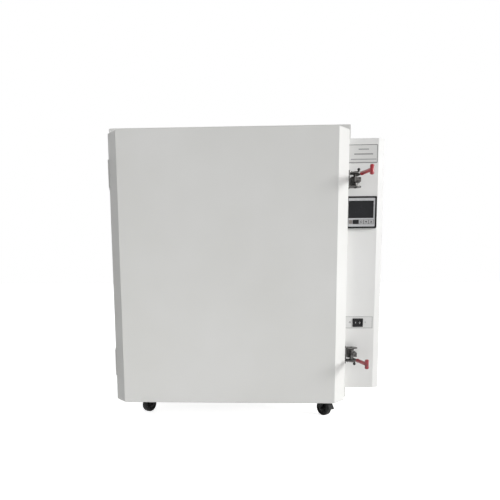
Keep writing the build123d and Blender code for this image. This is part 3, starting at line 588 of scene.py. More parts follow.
@dataclass(frozen=True)
class PressedWool(Finish):
    """Mineral wool slab: pressed fibres, matt and uneven."""

    fibre: str = "#8a7c4e"

    def shade(self, tree: Tree, spot: Socket, shader: bpy.types.Node) -> None:
        """Adds the fibres."""
        squashed = put(
            tree, "ShaderNodeMapping", {"vector_type": "POINT"}, {"Vector": spot, "Scale": (60, 60, 500)}
        )
        fibres = put(
            tree,
            "ShaderNodeTexNoise",
            None,
            {"Vector": squashed.outputs["Vector"], "Scale": 4.0, "Detail": 5.0, "Distortion": 1.2},
        ).outputs["Fac"]
        self.mottle(tree, fibres, self.fibre, shader)
        self.relief(tree, fibres, 1.0, shader, 0.8)


@dataclass(frozen=True)
class Silicone(Finish):
    """Extruded silicone profile: satin, with dusty bloom along its run."""

    bloom: str = "#b9685a"

    def shade(self, tree: Tree, spot: Socket, shader: bpy.types.Node) -> None:
        """Adds the bloom."""
        self.mottle(tree, self.cloud(tree, spot, 6, 4), self.bloom, shader)
        self.relief(tree, self.cloud(tree, spot, 2.0, 2), 0.05, shader, 0.4)


@dataclass(frozen=True)
class HeatedSheath(Finish):
    """Sheathed heating element after use: straw, brown and blue heat tints."""

    blue: str = "#3d4657"

    def shade(self, tree: Tree, spot: Socket, shader: bpy.types.Node) -> None:
        """Adds the tints along the tube."""
        bands = self.mottle(tree, self.cloud(tree, spot, 45, 2), self.blue, shader)
        tree.links.new(self.between(tree, bands, 0.35, 0.55), shader.inputs["Roughness"])


@dataclass(frozen=True)
class CastMetal(Finish):
    """Die cast housing: an even, fine sand texture with darker hollows."""

    hollow: str = "#5a5d5f"

    def shade(self, tree: Tree, spot: Socket, shader: bpy.types.Node) -> None:
        """Adds the sand texture."""
        grit = self.cloud(tree, spot, 1.5, 3)
        self.mottle(tree, grit, self.hollow, shader)
        self.relief(tree, grit, 0.15, shader, 0.6)


@dataclass(frozen=True)
class PrintedInk(Finish):
    """Screen printed ink: flat, faintly uneven where the squeegee passed."""

    thin: str = "#3a3b3d"

    def shade(self, tree: Tree, spot: Socket, shader: bpy.types.Node) -> None:
        """Adds the unevenness of the print."""
        self.mottle(tree, self.cloud(tree, spot, 5, 3), self.thin, shader)


PAINT = PowderCoat("powder_coat_white", "#dddddb", 0.42, shadow_tint="#d8d8d5")
# The control box gets a lighter copy of the cabinet's white paint. This is painted light, standing in for the brighter
# light that falls on the box.
LIT_BOX_PAINT = PowderCoat("powder_coat_box_painted_light", "#e6e6e5", 0.42, shadow_tint="#e2e2e0")
REAR_PAINT = PowderCoat("powder_coat_rear", "#d2d2cf", 0.5, shadow_tint="#c9c9c5")
LINER = BrushedSteel("brushed_stainless_liner", "#c6c5c2", 0.34, 1.0, grain=Grain.UP)
PLUG = BrushedSteel("brushed_stainless_door", "#c6c5c2", 0.34, 1.0, grain=Grain.ACROSS)
PIPE = BrushedSteel("brushed_stainless_pipe", "#bdbcb9", 0.3, 1.0, grain=Grain.ACROSS, run_mm=30)
ZINC = ZincPlate("zinc_plated_latch", "#7b7a78", 0.42, 0.9, dull="#302e2d")
SCREW_ZINC = ZincPlate("zinc_plated_screw", "#b9b8b4", 0.3, 0.95)
CHROME_WIRE = ZincPlate("chrome_plated_wire", "#d9d9da", 0.12, 1.0, dull="#c4c4c6")
SHEATH = HeatedSheath("heated_sheath", "#75604a", 0.4, 0.9)
WOOL = PressedWool("mineral_wool", "#b9a868", 0.95)
SEAL = Silicone("silicone_seal", "#a2402f", 0.6)
MOTOR = CastMetal("cast_motor", "#8b8f92", 0.5, 0.6)
LABEL = BrushedSteel("brushed_label", "#d6d6d5", 0.45, 0.15, line_mm=0.4, run_mm=40, dark="#cbcbc9")
RED = DippedVinyl("dipped_vinyl_red", "#b50d26", 0.35, deep="#74071a")
BLACK = Moulded("moulded_black", "#0d0d0e", 0.4, specular=0.25, worn="#161617")
BALL = Moulded("moulded_ball_black", "#0a0a0b", 0.3, specular=0.35, worn="#121213")
SILVER = Moulded("moulded_silver", "#c0c1c3", 0.38, 0.1, worn="#b6b7b9")
KEY_SILVER = Moulded("moulded_key_silver", "#b4b4b5", 0.4, worn="#a9a9aa")
KEY_BLOCK = Moulded("moulded_block_brown", "#857f7c", 0.45, worn="#7a7471")
WINDOW = DarkWindow("dark_window", "#0b0c0f", 0.2, specular=0.3, glow="#15161a")
BLACK_STEEL = PowderCoat(
    "powder_coat_black", "#0d0d0e", 0.42, specular=0.25, shadow_tint="#141415", peel_mm=1.6
)
WHEEL = Moulded("moulded_wheel", "#0e0e0e", 0.5, specular=0.25, worn="#1b1b1b")
INK = PrintedInk("printed_ink", "#26282b", 0.5)
STRIP_INK = PrintedInk("printed_strip", "#5a5859", 0.5, thin="#656364")
GREY_INK = PrintedInk("printed_ink_grey", "#7a7b7c", 0.5, thin="#8b8c8c")
WHITE_INK = PrintedInk("printed_ink_white", "#dcdcdc", 0.5, thin="#c8c8c8")


def dress(piece: Piece, finish: Finish) -> Piece:
    """Gives every material slot of a piece one finish."""
    piece.data.materials.clear()
    piece.data.materials.append(finish.material())
    return piece


def place(
    name: str,
    build: Shape,
    where: Matrix,
    finish: Finish,
    body: str,
    smooth: bool = False,
) -> Piece:
    """Puts a built piece in its place, dressed and riding on its body.

    Args:
        name: The piece's name.
        build: Its shape.
        where: Its place, in metres.
        finish: Its finish.
        body: The body that it rides on.
        smooth: Whether its faces are shaded smooth.

    Returns:
        The piece.
    """
    build.transform(where)
    piece = new_object(name, mesh_from(name, build, smooth))
    dress(piece, finish)
    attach(piece, body)
    LOG.info("made %s on %s", name, body)
    return piece


# What repeats, by Geometry Nodes


@dataclass
class Seat:
    """Where one fastener or slat sits: the middle of its foot, and the way it faces."""

    point: Vector
    facing: Vector
    size: float = 1.0


def open_tree(name: str, inputs: dict[str, str]) -> tuple[Tree, bpy.types.NodeOutputs]:
    """Starts a Geometry Nodes tree with named inputs and one geometry output.

    Args:
        name: The tree's name.
        inputs: Each input's name, with its kind of socket.

    Returns:
        The tree, and the sockets that its inputs come from.
    """
    tree = bpy.data.node_groups.new(name, "GeometryNodeTree")
    for label, kind in inputs.items():
        tree.interface.new_socket(name=label, in_out="INPUT", socket_type="NodeSocket" + kind)
    tree.interface.new_socket(name="Geometry", in_out="OUTPUT", socket_type="NodeSocketGeometry")
    return tree, put(tree, "NodeGroupInput").outputs


def close_tree(tree: Tree, copies: Socket, finish: Socket) -> None:
    """Ends a tree: its copies are made real and dressed.

    Args:
        tree: The tree.
        copies: The instances.
        finish: The material that they get.
    """
    real = put(tree, "GeometryNodeRealizeInstances", None, {"Geometry": copies})
    dressed = put(tree, "GeometryNodeSetMaterial", None, {"Geometry": real.outputs[0], "Material": finish})
    put(tree, "NodeGroupOutput", None, {"Geometry": dressed.outputs[0]})


def grown(
    holder: Piece, tree: Tree, values: dict[str, object], name: str
) -> Piece:
    """Runs a tree on an object and keeps the result as a plain mesh.

    Args:
        holder: The object that the tree works on, which is removed.
        tree: The tree.
        values: The value of each named input.
        name: The new object's name.

    Returns:
        The new object.
    """
    modifier = holder.modifiers.new(tree.name, "NODES")
    modifier.node_group = tree
    for item in tree.interface.items_tree:
        if item.in_out == "INPUT" and item.name in values:
            modifier[item.identifier] = values[item.name]
    return baked(holder, name)


@dataclass
class Repeater:
    """Sets copies of one small shape on many seats."""

    template: Mesh
    finish: Finish
    spread_turn: float = 0.0
    seed: int = 7

    def tree(self) -> Tree:
        """Builds the node tree: points with a facing, one copy on each, made real and dressed."""
        kinds = {"Seats": "Geometry", "Shape": "Object", "Size": "Float", "Spread of turn": "Float"}
        tree, given = open_tree("set_on_seats", {**kinds, "Seed": "Int", "Finish": "Material"})
        attribute = "GeometryNodeInputNamedAttribute"
        facing = put(tree, attribute, {"data_type": "FLOAT_VECTOR"}, {"Name": "facing"})
        size = put(tree, attribute, {"data_type": "FLOAT"}, {"Name": "size"})
        spin = put(
            tree,
            "FunctionNodeRandomValue",
            {"data_type": "FLOAT"},
            {2: 0.0, 3: given["Spread of turn"], "Seed": given["Seed"]},
        )
        aim = put(tree, "FunctionNodeAlignRotationToVector", {"axis": "Z"}, {"Vector": facing.outputs[0]})
        about_z = {"Axis": (0, 0, 1), "Angle": spin.outputs[1]}
        own = put(tree, "FunctionNodeAxisAngleToRotation", None, about_z)
        turn = put(
            tree,
            "FunctionNodeRotateRotation",
            {"rotation_space": "LOCAL"},
            {0: aim.outputs[0], 1: own.outputs[0]},
        )
        whose = {"Object": given["Shape"]}
        shape = put(tree, "GeometryNodeObjectInfo", {"transform_space": "ORIGINAL"}, whose)
        grow = put(
            tree, "ShaderNodeMath", {"operation": "MULTIPLY"}, {0: size.outputs[0], 1: given["Size"]}
        )
        copies = put(
            tree,
            "GeometryNodeInstanceOnPoints",
            None,
            {
                "Points": given["Seats"],
                "Instance": shape.outputs["Geometry"],
                "Rotation": turn.outputs[0],
                "Scale": grow.outputs[0],
            },
        )
        close_tree(tree, copies.outputs[0], given["Finish"])
        return tree

    def make(self, name: str, seats: Sequence[Seat], body: str) -> Piece:
        """Makes one plain mesh of all the copies.

        Args:
            name: The piece's name.
            seats: Where the copies go.
            body: The body that they ride on.

        Returns:
            The piece.
        """
        mesh = bpy.data.meshes.new(name + "_seats")
        mesh.from_pydata([seat.point for seat in seats], [], [])
        mesh.attributes.new("facing", "FLOAT_VECTOR", "POINT")
        mesh.attributes.new("size", "FLOAT", "POINT")
        for k, seat in enumerate(seats):
            mesh.attributes["facing"].data[k].vector = seat.facing
            mesh.attributes["size"].data[k].value = seat.size
        holder = new_object(name + "_seats", mesh)
        shape = new_object(name + "_shape", self.template)
        values = {"Shape": shape, "Size": 1.0, "Spread of turn": self.spread_turn, "Seed": self.seed}
        piece = grown(holder, self.tree(), {**values, "Finish": self.finish.material()}, name)
        bpy.data.objects.remove(shape)
        for extra in ("facing", "size"):
            if extra in piece.data.attributes:
                piece.data.attributes.remove(piece.data.attributes[extra])
        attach(piece, body)
        LOG.info("made %s on %s: %d copies", name, body, len(seats))
        return piece


def seats_of(node: str, unit: float) -> list[Seat]:
    """Finds the round heads in a CAD node, each with its foot and the way it faces.

    Args:
        node: The CAD node that holds the heads as separate solids.
        unit: The radius that a copy's template has, in metres.

    Returns:
        One seat for each head.
    """
    build = bmesh.new()
    build.from_mesh(frame["nodes"][node].data)
    bmesh.ops.remove_doubles(build, verts=build.verts, dist=1e-6)
    build.verts.ensure_lookup_table()
    left = set(range(len(build.verts)))
    middle = sum((v.co for v in build.verts), Vector()) / len(build.verts)
    seats = []
    while left:
        heap, island = [left.pop()], []
        while heap:
            vert = build.verts[heap.pop()]
            island.append(vert.co.copy())
            for edge in vert.link_edges:
                other = edge.other_vert(vert).index
                if other in left:
                    left.remove(other)
                    heap.append(other)
        low = Vector(min(p[i] for p in island) for i in range(3))
        high = Vector(max(p[i] for p in island) for i in range(3))
        span = high - low
        axis = min(range(3), key=lambda i: span[i])
        sign = 1 if (low + high)[axis] / 2 > middle[axis] else -1
        foot = (low + high) / 2
        foot[axis] = low[axis] if sign > 0 else high[axis]
        facing = Vector((0, 0, 0))
        facing[axis] = sign
        seats.append(Seat(foot, facing, max(span) / 2 / unit))
    build.free()
    return seats


@dataclass
class Fasteners:
    """The screws, bolts and rivets: shapes drawn once and set on every seat."""

    head_r: float = 4.0 * MM
    head_t: float = 2.2 * MM
    rivet_r: float = 3.0 * MM

    def pan_head(self) -> Mesh:
        """Draws a pan head with a cross recess.

        Returns:
            Its mesh, of the CAD head's size.
        """
        r, t = self.head_r, self.head_t
        profile = [(0, 0), (r * 0.97, 0), (r, t * 0.12), (r, t * 0.45)]
        profile += [(r * 0.93, t * 0.72), (r * 0.75, t * 0.92), (r * 0.5, t), (0, t)]
        head = new_object("pan_head", mesh_from("pan_head", lathe(profile, 24)))
        cutter = bmesh.new()
        for turn in (0, math.pi / 2):
            bar = prism(oblong(-r * 0.55, r * 0.55, r * 0.1), t)
            bar.transform(Matrix.Translation((0, 0, t * 0.45)) @ Matrix.Rotation(turn, 4, "Z"))
            bmesh.ops.recalc_face_normals(bar, faces=bar.faces)
            join(cutter, bar)
        recess = new_object("recess", mesh_from("recess", cutter))
        cut = head.modifiers.new("recess", "BOOLEAN")
        cut.operation, cut.object, cut.solver, cut.use_self = "DIFFERENCE", recess, "EXACT", True
        made = baked(head, "pan_head")
        bpy.data.objects.remove(recess)
        mesh = made.data
        bpy.data.objects.remove(made)
        return mesh

    def rivet(self) -> Mesh:
        """Draws a domed rivet or pin head."""
        r = self.rivet_r
        profile = [(0, 0), (r, 0), (r, r * 0.18), (r * 0.86, r * 0.38), (r * 0.55, r * 0.52), (0, r * 0.58)]
        return mesh_from("rivet", lathe(profile, 20), smooth=True)

    def hex_nut(self) -> Mesh:
        """Draws a hexagon nut with its bolt's rounded end."""
        r = self.rivet_r
        angles = [k * math.pi / 3 for k in range(6)]
        build = prism([(r * math.cos(a), r * math.sin(a)) for a in angles], r * 0.7)
        profile = [(0, r * 0.69), (r * 0.52, r * 0.69), (r * 0.52, r * 1.0), (r * 0.4, r * 1.1), (0, r * 1.1)]
        end = lathe(profile, 16)
        join(build, end)
        return mesh_from("hex_nut", build)

    def build(self) -> None:
        """Replaces the plain heads with real ones."""
        for node, body in (("cabinet_screws", "cabinet"), ("door_screws", "door")):
            repeater = Repeater(self.pan_head(), SCREW_ZINC, math.pi)
            heads = repeater.make(node + "_heads", seats_of(node, self.head_r), body)
            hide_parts(node)


# The sub-assemblies


@dataclass
class Latch:
    """One toggle latch: its grip, its release ball and its rivets."""

    side: str
    up: int
    stem_start: float = 38.5 * MM
    tee_r: float = 6.0 * MM
    stem_r: float = 5.7 * MM
    voxel: float = 0.8 * MM
    ball_r: float = 4.0 * MM
    cheek: float = 20.5 * MM
    link: float = 14.0 * MM

    def grip(self) -> Piece:
        """Builds the dipped grip as one soft-cornered tee.

        Returns:
            The grip, which stands for its CAD node.
        """
        node = f"latch_grip_{self.side}"
        low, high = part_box(node)
        pivot = joint_point(f"latch_lever_{self.side}_turn")
        end = Vector((high.x - self.tee_r, low.y + self.tee_r, (low.z + high.z) / 2))
        run = Vector((end.x - pivot.x, end.y - pivot.y, 0)).normalized()
        start = Vector((pivot.x, pivot.y, end.z)) + run * self.stem_start
        length = (end - start).length
        r, s = self.stem_r, self.tee_r
        stem = lathe(
            [(0, 0), (r * 0.86, 0), (r, 1.2 * MM), (r, 3 * MM), (r * 0.97, 7 * MM), (r * 0.94, length * 0.6)]
            + [(r, length - s * 1.2), (r, length), (0, length)],
            32,
        )
        stem.transform(Matrix.Translation(start) @ turned_to(run))
        half = (high.z - low.z) / 2
        profile = [(0, -half), (s * 0.5, -half * 0.985), (s * 0.82, -half * 0.92), (s, -half * 0.78)]
        profile += [(s * 0.92, -half * 0.3), (s * 0.92, half * 0.3)]
        profile += [(s, half * 0.78), (s * 0.82, half * 0.92), (s * 0.5, half * 0.985), (0, half)]
        tee = lathe(profile, 32)
        tee.transform(Matrix.Translation(end))
        join(stem, tee)
        rough = new_object(node + "_rough", mesh_from("rough", stem))
        remesh = rough.modifiers.new("skin", "REMESH")
        remesh.mode, remesh.voxel_size, remesh.use_smooth_shade = "VOXEL", self.voxel, True
        soften = rough.modifiers.new("sag", "SMOOTH")
        soften.factor, soften.iterations = 0.6, 7
        piece = baked(rough, f"dipped_grip_{self.side}")
        dress(piece, RED)
        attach(piece, f"lever_{self.side}")
        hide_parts(node)
        LOG.info("made the grip of the %s latch", self.side)
        return piece

    def ball(self) -> Piece:
        """Builds the black ball on the release arm, over the CAD one."""
        low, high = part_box(f"latch_trigger_{self.side}")
        radius = self.ball_r
        centre = Vector((high.x - radius, low.y + radius, high.z - radius if self.up > 0 else low.z + radius))
        build = bmesh.new()
        bmesh.ops.create_uvsphere(build, u_segments=32, v_segments=20, radius=radius * 1.06)
        return place(
            f"release_ball_{self.side}",
            build,
            Matrix.Translation(centre),
            BALL,
            f"trigger_{self.side}",
            True,
        )

    def rivets(self) -> None:
        """Sets the domed heads on the pins, and leaves the side bare where the release arm swings."""
        rivets = Fasteners()
        pivot = joint_point(f"latch_lever_{self.side}_turn")
        crank = joint_point(f"latch_hook_{self.side}_turn")
        away = Vector((0, 0, -self.up))
        seats = [Seat(pivot + away * self.cheek, away, 1.5)]
        Repeater(rivets.rivet(), ZINC).make(f"pivot_rivets_{self.side}", seats, "door")
        seats = [Seat(crank + Vector((0, 0, s * self.link)), Vector((0, 0, s)), 0.9) for s in (1, -1)]
        Repeater(rivets.rivet(), ZINC).make(
            f"link_rivets_{self.side}", seats, f"lever_{self.side}"
        )

    def build(self) -> None:
        """Builds the latch's own pieces."""
        self.grip()
        self.ball()
        self.rivets()


@dataclass
class Caster:
    """One caster's wheel, with its tread, hub and axle nuts."""

    corner: str
    radius: float = 25.0 * MM
    width: float = 18.0 * MM
    bore: float = 4.05 * MM
    leg_out: float = 15.5 * MM
    rib_count: int = 8

    def wheel(self) -> Piece:
        """Turns the wheel about its axle.

        Returns:
            The wheel, which stands for its CAD node.
        """
        r, w = self.radius, self.width / 2
        half = [(r * 0.999, 0), (r * 0.998, w * 0.4), (r * 0.985, w * 0.72), (r * 0.95, w * 0.93)]
        half += [(r * 0.9, w), (r * 0.8, w), (r * 0.77, w * 0.94), (r * 0.76, w * 0.62)]
        half += [(r * 0.4, w * 0.55), (r * 0.36, w * 0.9), (r * 0.33, w), (self.bore * 1.05, w), (self.bore, w * 0.95)]
        profile = list(reversed(half)) + [(a, -b) for a, b in half[1:]]
        build = lathe(profile + [profile[0]], 64)
        bmesh.ops.remove_doubles(build, verts=build.verts, dist=1e-7)
        name = f"wheel_{self.corner}_spin"
        where = Matrix.Translation(joint_point(name)) @ turned_to(joint_axis(name))
        piece = place(
            f"turned_wheel_{self.corner}", build, where, WHEEL, f"wheel_{self.corner}"
        )
        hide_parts(f"caster_wheel_{self.corner}")
        return piece

    def ribs(self) -> None:
        """Sets ribs across the wheel's web, on both sides."""
        r, w = self.radius, self.width / 2
        rib = prism(oblong(r * 0.37, r * 0.78, 0.6 * MM), w * 0.34)
        rib.transform(Matrix.Translation((0, 0, w * 0.5)))
        mesh = mesh_from("rib", rib)
        name = f"wheel_{self.corner}_spin"
        where = Matrix.Translation(joint_point(name)) @ turned_to(joint_axis(name))
        for side in (1, -1):
            both = new_object("ribs", mesh.copy())
            values = {"Count": self.rib_count, "Finish": WHEEL.material()}
            label = f"wheel_ribs_{self.corner}_{'near' if side > 0 else 'far'}"
            piece = grown(both, self.ring_tree(), values, label)
            turn = Matrix.Identity(4) if side > 0 else Matrix.Rotation(math.pi, 4, "X")
            piece.data.transform(where @ turn)
            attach(piece, f"wheel_{self.corner}")

    def ring_tree(self) -> Tree:
        """Builds a tree that repeats its input round Z."""
        tree, given = open_tree("ring_of_ribs", {"Rib": "Geometry", "Count": "Int", "Finish": "Material"})
        start = put(tree, "GeometryNodePoints", None, {"Count": given["Count"]})
        index = put(tree, "GeometryNodeInputIndex")
        step = put(tree, "ShaderNodeMath", {"operation": "DIVIDE"}, {0: 2 * math.pi, 1: given["Count"]})
        angle = put(
            tree, "ShaderNodeMath", {"operation": "MULTIPLY"}, {0: index.outputs[0], 1: step.outputs[0]}
        )
        about_z = {"Axis": (0, 0, 1), "Angle": angle.outputs[0]}
        turn = put(tree, "FunctionNodeAxisAngleToRotation", None, about_z)
        copies = put(
            tree,
            "GeometryNodeInstanceOnPoints",
            None,
            {"Points": start.outputs[0], "Instance": given["Rib"], "Rotation": turn.outputs[0]},
        )
        close_tree(tree, copies.outputs[0], given["Finish"])
        return tree

    def nuts(self) -> None:
        """Sets the axle's two nuts on the fork or bracket."""
        name = f"wheel_{self.corner}_spin"
        axle, axis = joint_point(name), joint_axis(name)
        body = f"swivel_{self.corner[6:]}" if self.corner.startswith("front") else "cabinet"
        shape = Fasteners()
        seats = [Seat(axle + axis * s * self.leg_out * 0.87, axis * s, 1.75) for s in (1, -1)]
        Repeater(shape.hex_nut(), BLACK_STEEL).make(f"axle_nuts_{self.corner}", seats, body)

    def build(self) -> None:
        """Builds the caster's own pieces."""
        self.wheel()
        self.ribs()
        self.nuts()


@dataclass
class ControlBox:
    """The printed, moulded and pressed details of the control box."""

    band: float = 5.3 * MM
    proud: float = 0.3 * MM
    louvre_rows: int = 8
    louvre_pitch: float = 14 * MM
    louvre_length: float = 60 * MM
    cover_rows: int = 12
    cover_pitch: float = 86.67 * MM
    hood_tall: float = 8 * MM
    hood_out: float = 2.3 * MM

    def nameplate(self) -> None:
        """Gives the bare nameplate its border and its blank ruled rows."""
        low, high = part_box("nameplate")
        middle = (low + high) / 2
        width, height = high.x - low.x, high.z - low.z
        outer = rounded(width - 1.4 * MM, height - 1.4 * MM, 1.0 * MM)
        inner = rounded(width - 4.0 * MM, height - 4.0 * MM, 0.6 * MM)
        where = front_place(middle.x, low.y + 0.02 * MM, middle.z)
        place("nameplate_border", frame_band(outer, inner, 0.12 * MM), where, INK, "cabinet")
        rows = ((0.24, 0.34, 2.6), (-0.02, 0.62, 3.2), (-0.3, 0.84, 2.0))
        for k, (z, reach, thick) in enumerate(rows):
            line = rounded(width * reach, thick * MM, 0.4 * MM, 2)
            spot = front_place(middle.x + 3 * MM, low.y + 0.02 * MM, middle.z + z * height)
            place(f"nameplate_rule_{k + 1}", prism(line, 0.1 * MM), spot, GREY_INK, "cabinet")

    def controller(self) -> None:
        """Builds the controller's black rim, its window's edge and its key strip."""
        low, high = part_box("controller_housing")
        middle = (low + high) / 2
        width, height = high.x - low.x, high.z - low.z
        outer = rounded(width - 0.2 * MM, height - 0.2 * MM, 4 * MM)
        inner = rounded(width - 2 * self.band, height - 2 * self.band, 1.6 * MM)
        where = front_place(middle.x, low.y + 0.3 * MM, middle.z)
        rim = frame_band(outer, inner, self.proud + 0.5 * MM)
        place("controller_rim", rim, where, BLACK, "cabinet")
        low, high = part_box("controller_display")
        middle = (low + high) / 2
        width, height = high.x - low.x, high.z - low.z
        inner = rounded(width - 5 * MM, height - 5 * MM, 1 * MM)
        edge = frame_band(rounded(width, height, 1.2 * MM), inner, 0.5 * MM)
        spot = front_place(middle.x, low.y + 0.1 * MM, middle.z)
        place("display_edge", edge, spot, BLACK, "cabinet")
        glass = prism(rounded(width - 5.2 * MM, height - 5.2 * MM, 1 * MM), 0.3 * MM)
        place("display_window", glass, spot, WINDOW, "cabinet")
        first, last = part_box("key_power"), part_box("key_up")
        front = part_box("controller_housing")[0].y
        middle_z = (first[0].z + first[1].z) / 2
        tall = first[1].z - first[0].z
        wide = last[1].x - first[0].x + 2.4 * MM
        strip = prism(rounded(wide, tall + 2.4 * MM, 0.8 * MM), 0.2 * MM)
        spot = front_place((last[1].x + first[0].x) / 2, front + 0.05 * MM, middle_z)
        place("key_strip", strip, spot, STRIP_INK, "cabinet")
        block = prism(rounded(9 * MM, tall, 0.8 * MM), 0.9 * MM)
        spot = front_place(first[0].x - 7 * MM, front + 0.05 * MM, middle_z)
        place("key_blank", block, spot, KEY_BLOCK, "cabinet")

    def marks(self) -> None:
        """Prints plain marks on the keys, and I and O by and on the switch."""
        arrow = [(-3.6 * MM, -2.2 * MM), (3.6 * MM, -2.2 * MM), (0, 3.2 * MM)]
        for key, turn in (("up", 0.0), ("down", math.pi)):
            low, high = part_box(f"key_{key}")
            where = landing(f"key_{key}", (low.x + high.x) / 2, (low.z + high.z) / 2)
            mark = prism(arrow, 0.12 * MM)
            mark.transform(Matrix.Rotation(turn, 4, "Z"))
            place(f"key_mark_{key}", mark, where, INK, f"key_{key}_body")
        low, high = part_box("key_set")
        ring = self.ring(6.6, 3.8)
        where = landing("key_set", (low.x + high.x) / 2, (low.z + high.z) / 2)
        place("key_mark_set", ring, where, INK, "key_set_body")
        low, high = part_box("switch_plate")
        wide, tall = high.x - low.x - 3.6 * MM, high.z - low.z - 1.6 * MM
        inner = rounded(wide - 2 * MM, tall - 2 * MM, 0.6 * MM)
        line = frame_band(rounded(wide, tall, 1 * MM), inner, 0.12 * MM)
        spot = front_place(low.x + 1 * MM + wide / 2, low.y + 0.02 * MM, (low.z + high.z) / 2)
        place("switch_border", line, spot, GREY_INK, "cabinet")
        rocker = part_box("rocker_housing")
        middle_z = (low.z + high.z) / 2
        stroke = rounded(1.1 * MM, 5 * MM, 0.4 * MM, 2)
        spot = front_place(rocker[1].x + 7 * MM, low.y + 0.02 * MM, middle_z)
        place("switch_plate_on", prism(stroke, 0.12 * MM), spot, INK, "cabinet")
        spot = front_place(rocker[0].x - 8 * MM, low.y + 0.02 * MM, middle_z)
        place("switch_plate_off", self.ring(5.4, 3.4), spot, INK, "cabinet")
        low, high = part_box("rocker_paddle")
        middle = (low + high) / 2
        where = landing("rocker_paddle", middle.x - 6 * MM, middle.z)
        place("rocker_on", prism(stroke, 0.12 * MM), where, WHITE_INK, "rocker")
        where = landing("rocker_paddle", middle.x + 6 * MM, middle.z)
        place("rocker_off", self.ring(5, 3.4), where, WHITE_INK, "rocker")

    def ring(self, outer: float, inner: float) -> Shape:
        """Draws a printed ring.

        Args:
            outer: Its outer width, in millimetres.
            inner: Its inner width, in millimetres.

        Returns:
            The ring.
        """
        rings = [rounded(w * MM, w * MM, w * MM / 2 * 0.999) for w in (outer, inner)]
        return frame_band(rings[0], rings[1], 0.12 * MM)

    def hood(self, turn: float = 0.0) -> Mesh:
        """Draws one pressed louvre hood, whose mouth looks down.

        Args:
            turn: How far it is turned in its own plane, so that its mouth looks down once it is seated.

        Returns:
            Its mesh, with its wall closed.
        """
        build = bmesh.new()
        steps, rows = 20, 6
        grid = []
        for i in range(steps + 1):
            u = -1 + 2 * i / steps
            edge = (1 - abs(u) ** 6) ** 0.5
            line = []
            for j in range(rows + 1):
                v = j / rows
                rise = self.hood_out * (0.04 + 0.96 * edge * math.sin(v * math.pi / 2) ** 0.7)
                line.append(build.verts.new((u * self.louvre_length / 2, self.hood_tall * (0.5 - v), rise)))
            grid.append(line)
        for i in range(steps):
            for j in range(rows):
                build.faces.new((grid[i][j], grid[i + 1][j], grid[i + 1][j + 1], grid[i][j + 1]))
        sheet = new_object("hood_sheet", mesh_from("hood_sheet", build, smooth=True))
        wall = sheet.modifiers.new("wall", "SOLIDIFY")
        wall.thickness, wall.offset = 0.8 * MM, 0
        made = baked(sheet, "hood")
        mesh = made.data
        mesh.transform(Matrix.Rotation(turn, 4, "Z"))
        bpy.data.objects.remove(made)
        return mesh

    def louvres(self) -> None:
        """Presses a hood over each slot of the box's side, and behind each slot of the motor cover."""
        low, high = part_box("control_casing")
        side_z = low.z + (high.z - low.z) / 4
        seats = []
        for column in (-1, 0, 1):
            for row in range(self.louvre_rows):
                z = side_z + (row - (self.louvre_rows - 1) / 2) * self.louvre_pitch
                y = (low.y + high.y) / 2 + column * 90 * MM
                seats.append(Seat(Vector((high.x - 0.6 * MM, y, z)), Vector((1, 0, 0))))
        # The side louvres take the control box's lighter copy of the white paint, which is painted light.
        Repeater(self.hood(math.pi / 2), LIT_BOX_PAINT).make("side_louvres", seats, "cabinet")
        low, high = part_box("motor_cover")
        seats = []
        for column in (-0.5, 0.5):
            for row in range(self.cover_rows):
                z = (low.z + high.z) / 2 + (row - (self.cover_rows - 1) / 2) * self.louvre_pitch
                x = (low.x + high.x) / 2 + column * self.cover_pitch
                seats.append(Seat(Vector((x, high.y - 1.2 * MM, z)), Vector((0, -1, 0))))
        Repeater(self.hood(), REAR_PAINT).make("cover_louvres", seats, "cabinet")

    def build(self) -> None:
        """Builds the control box's own pieces."""
        self.nameplate()
        self.controller()
        self.marks()
        self.louvres()


@dataclass
class DoorSeal:
    """The silicone bulb seal round the chamber's mouth."""

    width: float = 12 * MM
    steps: int = 20
    corner: float = 14 * MM

    def build(self) -> Piece:
        """Runs a soft-sided profile round the mouth.

        Returns:
            The seal, which stands for its CAD node.
        """
        low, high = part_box("chamber_seal")
        middle = (low + high) / 2
        wide, tall, deep = high.x - low.x - self.width, high.z - low.z - self.width, high.y - low.y
        build = bmesh.new()
        loops = []
        for k in range(self.steps):
            angle = 2 * math.pi * k / self.steps
            out, lift = math.cos(angle), math.sin(angle)
            out = math.copysign(abs(out) ** 0.6, out) * self.width / 2
            lift = math.copysign(abs(lift) ** 0.6, lift) * deep / 2
            line = rounded(wide + 2 * out, tall + 2 * out, self.corner + out, 8)
            loops.append([build.verts.new((x, y, lift)) for x, y in line])
        count = len(loops[0])
        for k in range(self.steps):
            first, second = loops[k], loops[(k + 1) % self.steps]
            for n in range(count):
                m = (n + 1) % count
                build.faces.new((first[n], first[m], second[m], second[n]))
        where = front_place(middle.x, middle.y, middle.z)
        piece = place("bulb_seal", build, where, SEAL, "cabinet", True)
        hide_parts("chamber_seal")
        return piece


def seen_directly(tree: Tree) -> Socket:
    """Gives 1 on camera, glossy and transmission rays, and 0 on the rays that light the scene."""
    rays = put(tree, "ShaderNodeLightPath").outputs
    seen = rays["Is Camera Ray"]
    for kind in ("Is Glossy Ray", "Is Transmission Ray"):
        seen = put(tree, "ShaderNodeMath", {"operation": "MAXIMUM"}, {0: seen, 1: rays[kind]}).outputs[0]
    return seen


